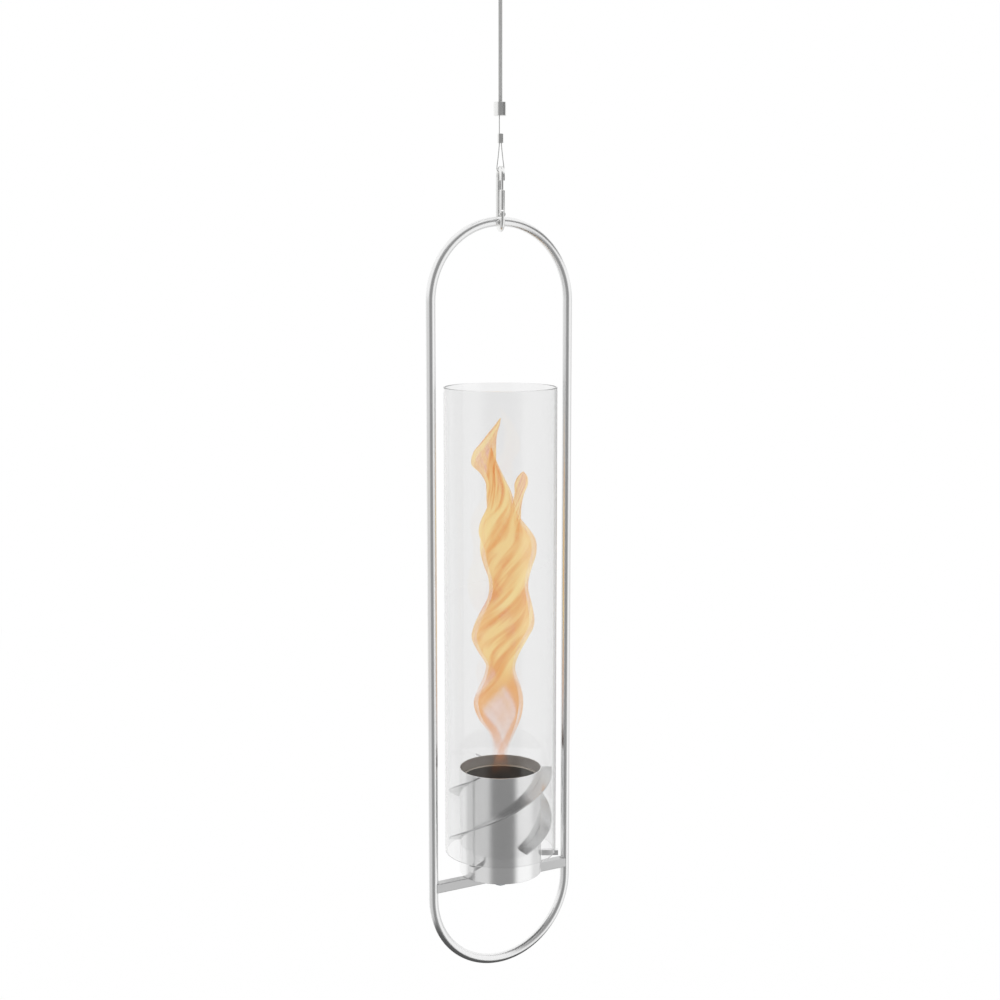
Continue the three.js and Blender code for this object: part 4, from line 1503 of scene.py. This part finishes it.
# ---------------------------------------------------------------- flame
@dataclass
class Flame:
    """The flame that the vanes twist: nested hollow bodies and the tongues at their top.

    Stations are (height, radius, lean), where lean is how far the middle stands off the axis.
    """

    body: tuple[Station, ...] = (
        (-944, 18, 0), (-905, 11, 0), (-884, 10, 0), (-866, 13, 1), (-848, 20, -1), (-826, 24.5, -2),
        (-810, 23.5, -1), (-796, 19.5, 0), (-786, 17, 0), (-771, 21.5, -2), (-757, 26.5, -1), (-743, 29, 4),
        (-727, 28, 7), (-713, 25.5, 9), (-694, 22.5, 8.5), (-680, 24, 8), (-665, 26.5, 8.5), (-650, 27, 8),
        (-638, 25.5, 4), (-624, 21, 0.5), (-612, 16, 1), (-597, 12.5, -2), (-581, 8, -6), (-566, 4.5, -9),
        (-552, 0.8, -10),
    )
    tongues: tuple[tuple[Station, ...], ...] = (
        ((-622, 9, -6), (-606, 7, -8), (-590, 5.5, -9), (-578, 7.5, -13), (-569, 11.5, -17.5),
         (-556, 11.5, -16.5), (-546, 8.5, -12.5), (-536, 5.5, -8), (-528, 3, -3.5), (-520.5, 0.5, 0)),
        ((-642, 8, 12), (-626, 7.5, 15), (-612, 5.5, 17.5), (-600, 5, 20), (-590, 6.5, 22), (-582, 4.5, 23.5),
         (-577, 0.6, 24)),
        ((-664, 9, -6), (-652, 10, -10), (-642, 9, -14), (-632, 7, -15), (-622, 3.5, -14), (-616, 0.5, -12)),
    )
    # Share of the radius and of the glow that each nested body takes, and a tongue's share.
    shells: tuple[Point2, ...] = ((1.0, 0.7), (0.82, 1.0))
    tongue_cover: float = 0.85
    lean_azimuth: float = -30.0
    # The folds cross at this height and turn half round in each half turn's height.
    crossing: float = -796.0
    half_turn: float = 88.0
    sway: float = 5.0
    # A fold bulges by this share of the radius. It is dense from a bulge of fold_start on.
    lobe: float = 0.13
    fold_start: float = 0.35
    fold_edge: float = 0.6
    least_radius: float = 0.3
    # The flame begins to show at its foot, and fills from its edges inwards above that.
    foot: Point2 = (-912.0, -815.0)
    fill: Point2 = (-815.0, -770.0)
    hollow_cover: float = 0.3
    foot_warmth: float = 0.45
    points: int = 56
    step: float = 2.0

    def twist(self, height: float) -> float:
        """How far the folds have turned at that height, in radians about Z."""
        turned = 180.0 * (height - self.crossing) / self.half_turn
        return math.radians(self.lean_azimuth - 90.0 + turned)

    def loft(self, name: str, stations: Sequence[Station], scale: float, cover: float,
             depth: float) -> bpy.types.Object:
        """Lofts one twisted closed body and stores how dense and how pale it is at every point.

        Args:
            name: Name of the piece.
            stations: Height, radius and lean, from the foot to the tip.
            scale: Share of the radius that this body takes.
            cover: Share of the whole glow that this body has.
            depth: How far the whole body stands back across its lean.

        Returns:
            The new object.
        """
        route = smooth_route(stations, self.step)
        lean = rotation(self.lean_azimuth)
        points, grain = [], []
        stored: dict[str, list[float]] = {"dense": [], "whole": [], "warmth": []}
        for height, radius, offset in route:
            twist = self.twist(height)
            centre = lean @ Vector((offset, depth + self.sway * math.sin(twist), height))
            lit, filled = (smooth_share((height - low) / (high - low))
                           for low, high in (self.foot, self.fill))
            warmth = lit * (self.foot_warmth + (1 - self.foot_warmth) * filled)
            for i in range(self.points):
                angle = 2 * math.pi * i / self.points
                fold = math.cos(2 * (angle - twist))
                reach = max(self.least_radius, radius * scale) * (1 + self.lobe * fold)
                points.append(centre + Vector((math.cos(angle), math.sin(angle), 0)) * reach)
                # The streaks read a unit circle that turns with the folds, in metres.
                grain.append(Vector((math.cos(angle - twist) / MM, math.sin(angle - twist) / MM, height)))
                ridge = smooth_share((fold - self.fold_start) / self.fold_edge)
                edge_cover = self.hollow_cover + (1 - self.hollow_cover) * ridge
                stored["dense"].append(ridge)
                stored["whole"].append(cover * lit * (filled + (1 - filled) * edge_cover))
                stored["warmth"].append(warmth)
        flame = make_object(name, points, loft_faces(self.points, len(route), False), grain)
        for key, values in stored.items():
            flame.data.attributes.new(key, "FLOAT", "POINT").data.foreach_set("value", values)
        return flame

    def build(self, shop: Workshop) -> None:
        """Makes the nested bodies and the tongues.

        Args:
            shop: Fits the pieces.
        """
        glow = SootGlow()
        bodies = [(f"flame_fold_{number}", self.body, scale, cover, 0.0)
                  for number, (scale, cover) in enumerate(self.shells, 1)]
        bodies += [(f"flame_tongue_{number}", tongue, 1.0, self.tongue_cover, self.sway * (number - 2))
                   for number, tongue in enumerate(self.tongues, 1)]
        for body in bodies:
            shop.fit(self.loft(*body), glow, "burner")


# ---------------------------------------------------------------- ceiling fitting
@dataclass
class CeilingFitting:
    """The plate on the ceiling with its three screws and the open hook below it."""

    plate_radius: float = 30.0
    plate_thickness: float = 4.0
    plate_edge: float = 0.8
    hole_circle: float = 22.0
    screw_azimuths: tuple[float, ...] = (30.0, 150.0, 270.0)
    screw_radius: float = 2.0
    screw_length: float = 34.0
    head_radius: float = 4.0
    head_depth: float = 2.4
    # The head's rim and its cross recess: the width and rise of the rim, the arms of the cross.
    head_edge: Point2 = (0.2, 0.3)
    recess_arm: Point2 = (4.6, 0.9)
    recess_depth: float = 1.5
    # How far the head lies above the plate's face.
    head_inset: float = 0.1
    # The thread, below a plain neck: its root, its pitch, how sharp its ridge is, and its tip.
    neck_length: float = 9.0
    thread_root: float = 1.35
    thread_pitch: float = 1.9
    ridge_share: float = 0.14
    tip_length: float = 5.0
    tip_share: float = 0.02
    thread_sides: int = 24
    thread_step: float = 0.24
    bar_radius: float = 3.0
    bar_end: float = 0.8
    bar_step: float = 0.6
    bend_radius: float = 12.0
    bend_height: float = -22.0
    bend_start: float = 140.0
    # The offset bend between the hook's straight root and its round bend.
    neck_points: tuple[Point2, ...] = ((0.0, -6.0), (-3.2, -9.6))
    tip: float = -17.0

    def hook(self) -> bpy.types.Object:
        """Bends the open hook from round bar with a rounded tip.

        Returns:
            The hook.
        """
        bend = arc(0, self.bend_height, self.bend_radius, self.bend_start, 360, 11)
        route = smooth_route([(0, -self.plate_thickness - TOUCH), *self.neck_points, *bend,
                              (self.bend_radius, self.tip)], self.bar_step)
        section = round_section(self.bar_radius, sides=36, end_round=self.bar_end)
        return sweep("ceiling_hook_bent", route, ROPE_AZIMUTH + 90, section)

    def at_screw(self, body: bpy.types.Object, azimuth: float) -> bpy.types.Object:
        """Moves a piece onto the screw hole at that azimuth, in degrees."""
        turn = math.radians(azimuth)
        return place(body, shift=(self.hole_circle * math.cos(turn), self.hole_circle * math.sin(turn)))

    def plate(self) -> bpy.types.Object:
        """Turns the disc and countersinks its holes.

        Returns:
            The plate.
        """
        r, low, edge = self.plate_radius, -self.plate_thickness, self.plate_edge
        profile = [(0, low), *arc(r - edge, low + edge, edge, -90, 0, 5), (r, 0), (0, 0)]
        body = revolve("ceiling_plate_turned", profile, segments=160)
        shank, head = self.screw_radius + TOUCH, self.head_radius + 2 * TOUCH
        face, sink = low - TOUCH, self.head_depth + low + TOUCH / 2
        hole = [(0, face), (head, face), (shank, sink), (shank, 1), (0, 1)]
        return carve(body, [self.at_screw(revolve("cutter", hole, segments=48), azimuth)
                            for azimuth in self.screw_azimuths])

    def thread(self, neck: float, point: float) -> bpy.types.Object:
        """Makes the coarse thread, which tapers to the screw's point.

        Args:
            neck: Height where the thread starts.
            point: Height of the screw's point.

        Returns:
            The thread, round the screw's core.
        """
        root, crest, sides = self.thread_root, self.screw_radius, self.thread_sides
        rows = round((point - neck) / self.thread_step)
        points = []
        for row in range(rows + 1):
            z = neck + (point - neck) * row / rows
            shrink = min(1.0, max(self.tip_share, (point - z) / self.tip_length))
            for i in range(sides):
                around = (i / sides - (z - neck) / self.thread_pitch) % 1.0
                ridge = max(0.0, 1.0 - abs(around - 0.5) / self.ridge_share)
                reach = (root + (crest - root) * ridge) * shrink
                angle = 2 * math.pi * i / sides
                points.append(Vector((reach * math.cos(angle), reach * math.sin(angle), z)))
        return make_object("thread", points, loft_faces(sides, rows + 1, False))

    def screw(self, azimuth: float, number: int) -> bpy.types.Object:
        """Cuts a countersunk wood screw with a cross recess and a coarse thread.

        Args:
            azimuth: Where it goes through the plate, in degrees.
            number: Number of the screw.

        Returns:
            The screw, in its place.
        """
        face = self.head_inset - self.plate_thickness
        neck, r, rim = face + self.neck_length, self.head_radius, self.head_edge
        profile = [(0, face), (r - rim[0], face), (r, face + rim[1]),
                   (self.screw_radius, face + self.head_depth), (self.screw_radius, neck),
                   (self.thread_root, neck + 1), (0, neck + 1)]
        body = revolve(f"ceiling_screw_{number}_cut", profile, segments=48)
        recess = [block(Vector((*arm, 2 * self.recess_depth)), Vector((0, 0, face)))
                  for arm in (self.recess_arm, self.recess_arm[::-1])]
        carve(body, recess, [self.thread(neck, face + self.screw_length)])
        return self.at_screw(body, azimuth)

    def build(self, shop: Workshop) -> None:
        """Makes the plate, the hook and the screws.

        Args:
            shop: Fits the pieces.
        """
        shop.fit(self.hook(), ZINC_BAR, "root", ["ceiling_hook"])
        shop.fit(self.plate(), ZINC, "root", ["ceiling_plate"])
        for number, azimuth in enumerate(self.screw_azimuths, 1):
            screw = self.screw(azimuth, number)
            shop.fit(screw, ZINC, "root", [f"ceiling_screw_{number}"])


def main() -> None:
    """Builds the studio and every sub-assembly in order."""
    logging.basicConfig(level=logging.INFO, format="%(name)s: %(message)s")
    shop = Workshop()
    Studio().build()
    Suspension().build(shop)
    SnapHook().build(shop)
    Carrier().build(shop)
    Chimney().build(shop)
    Burner().build(shop)
    Flame().build(shop)
    CeilingFitting().build(shop)


if __name__ == "__main__":
    main()
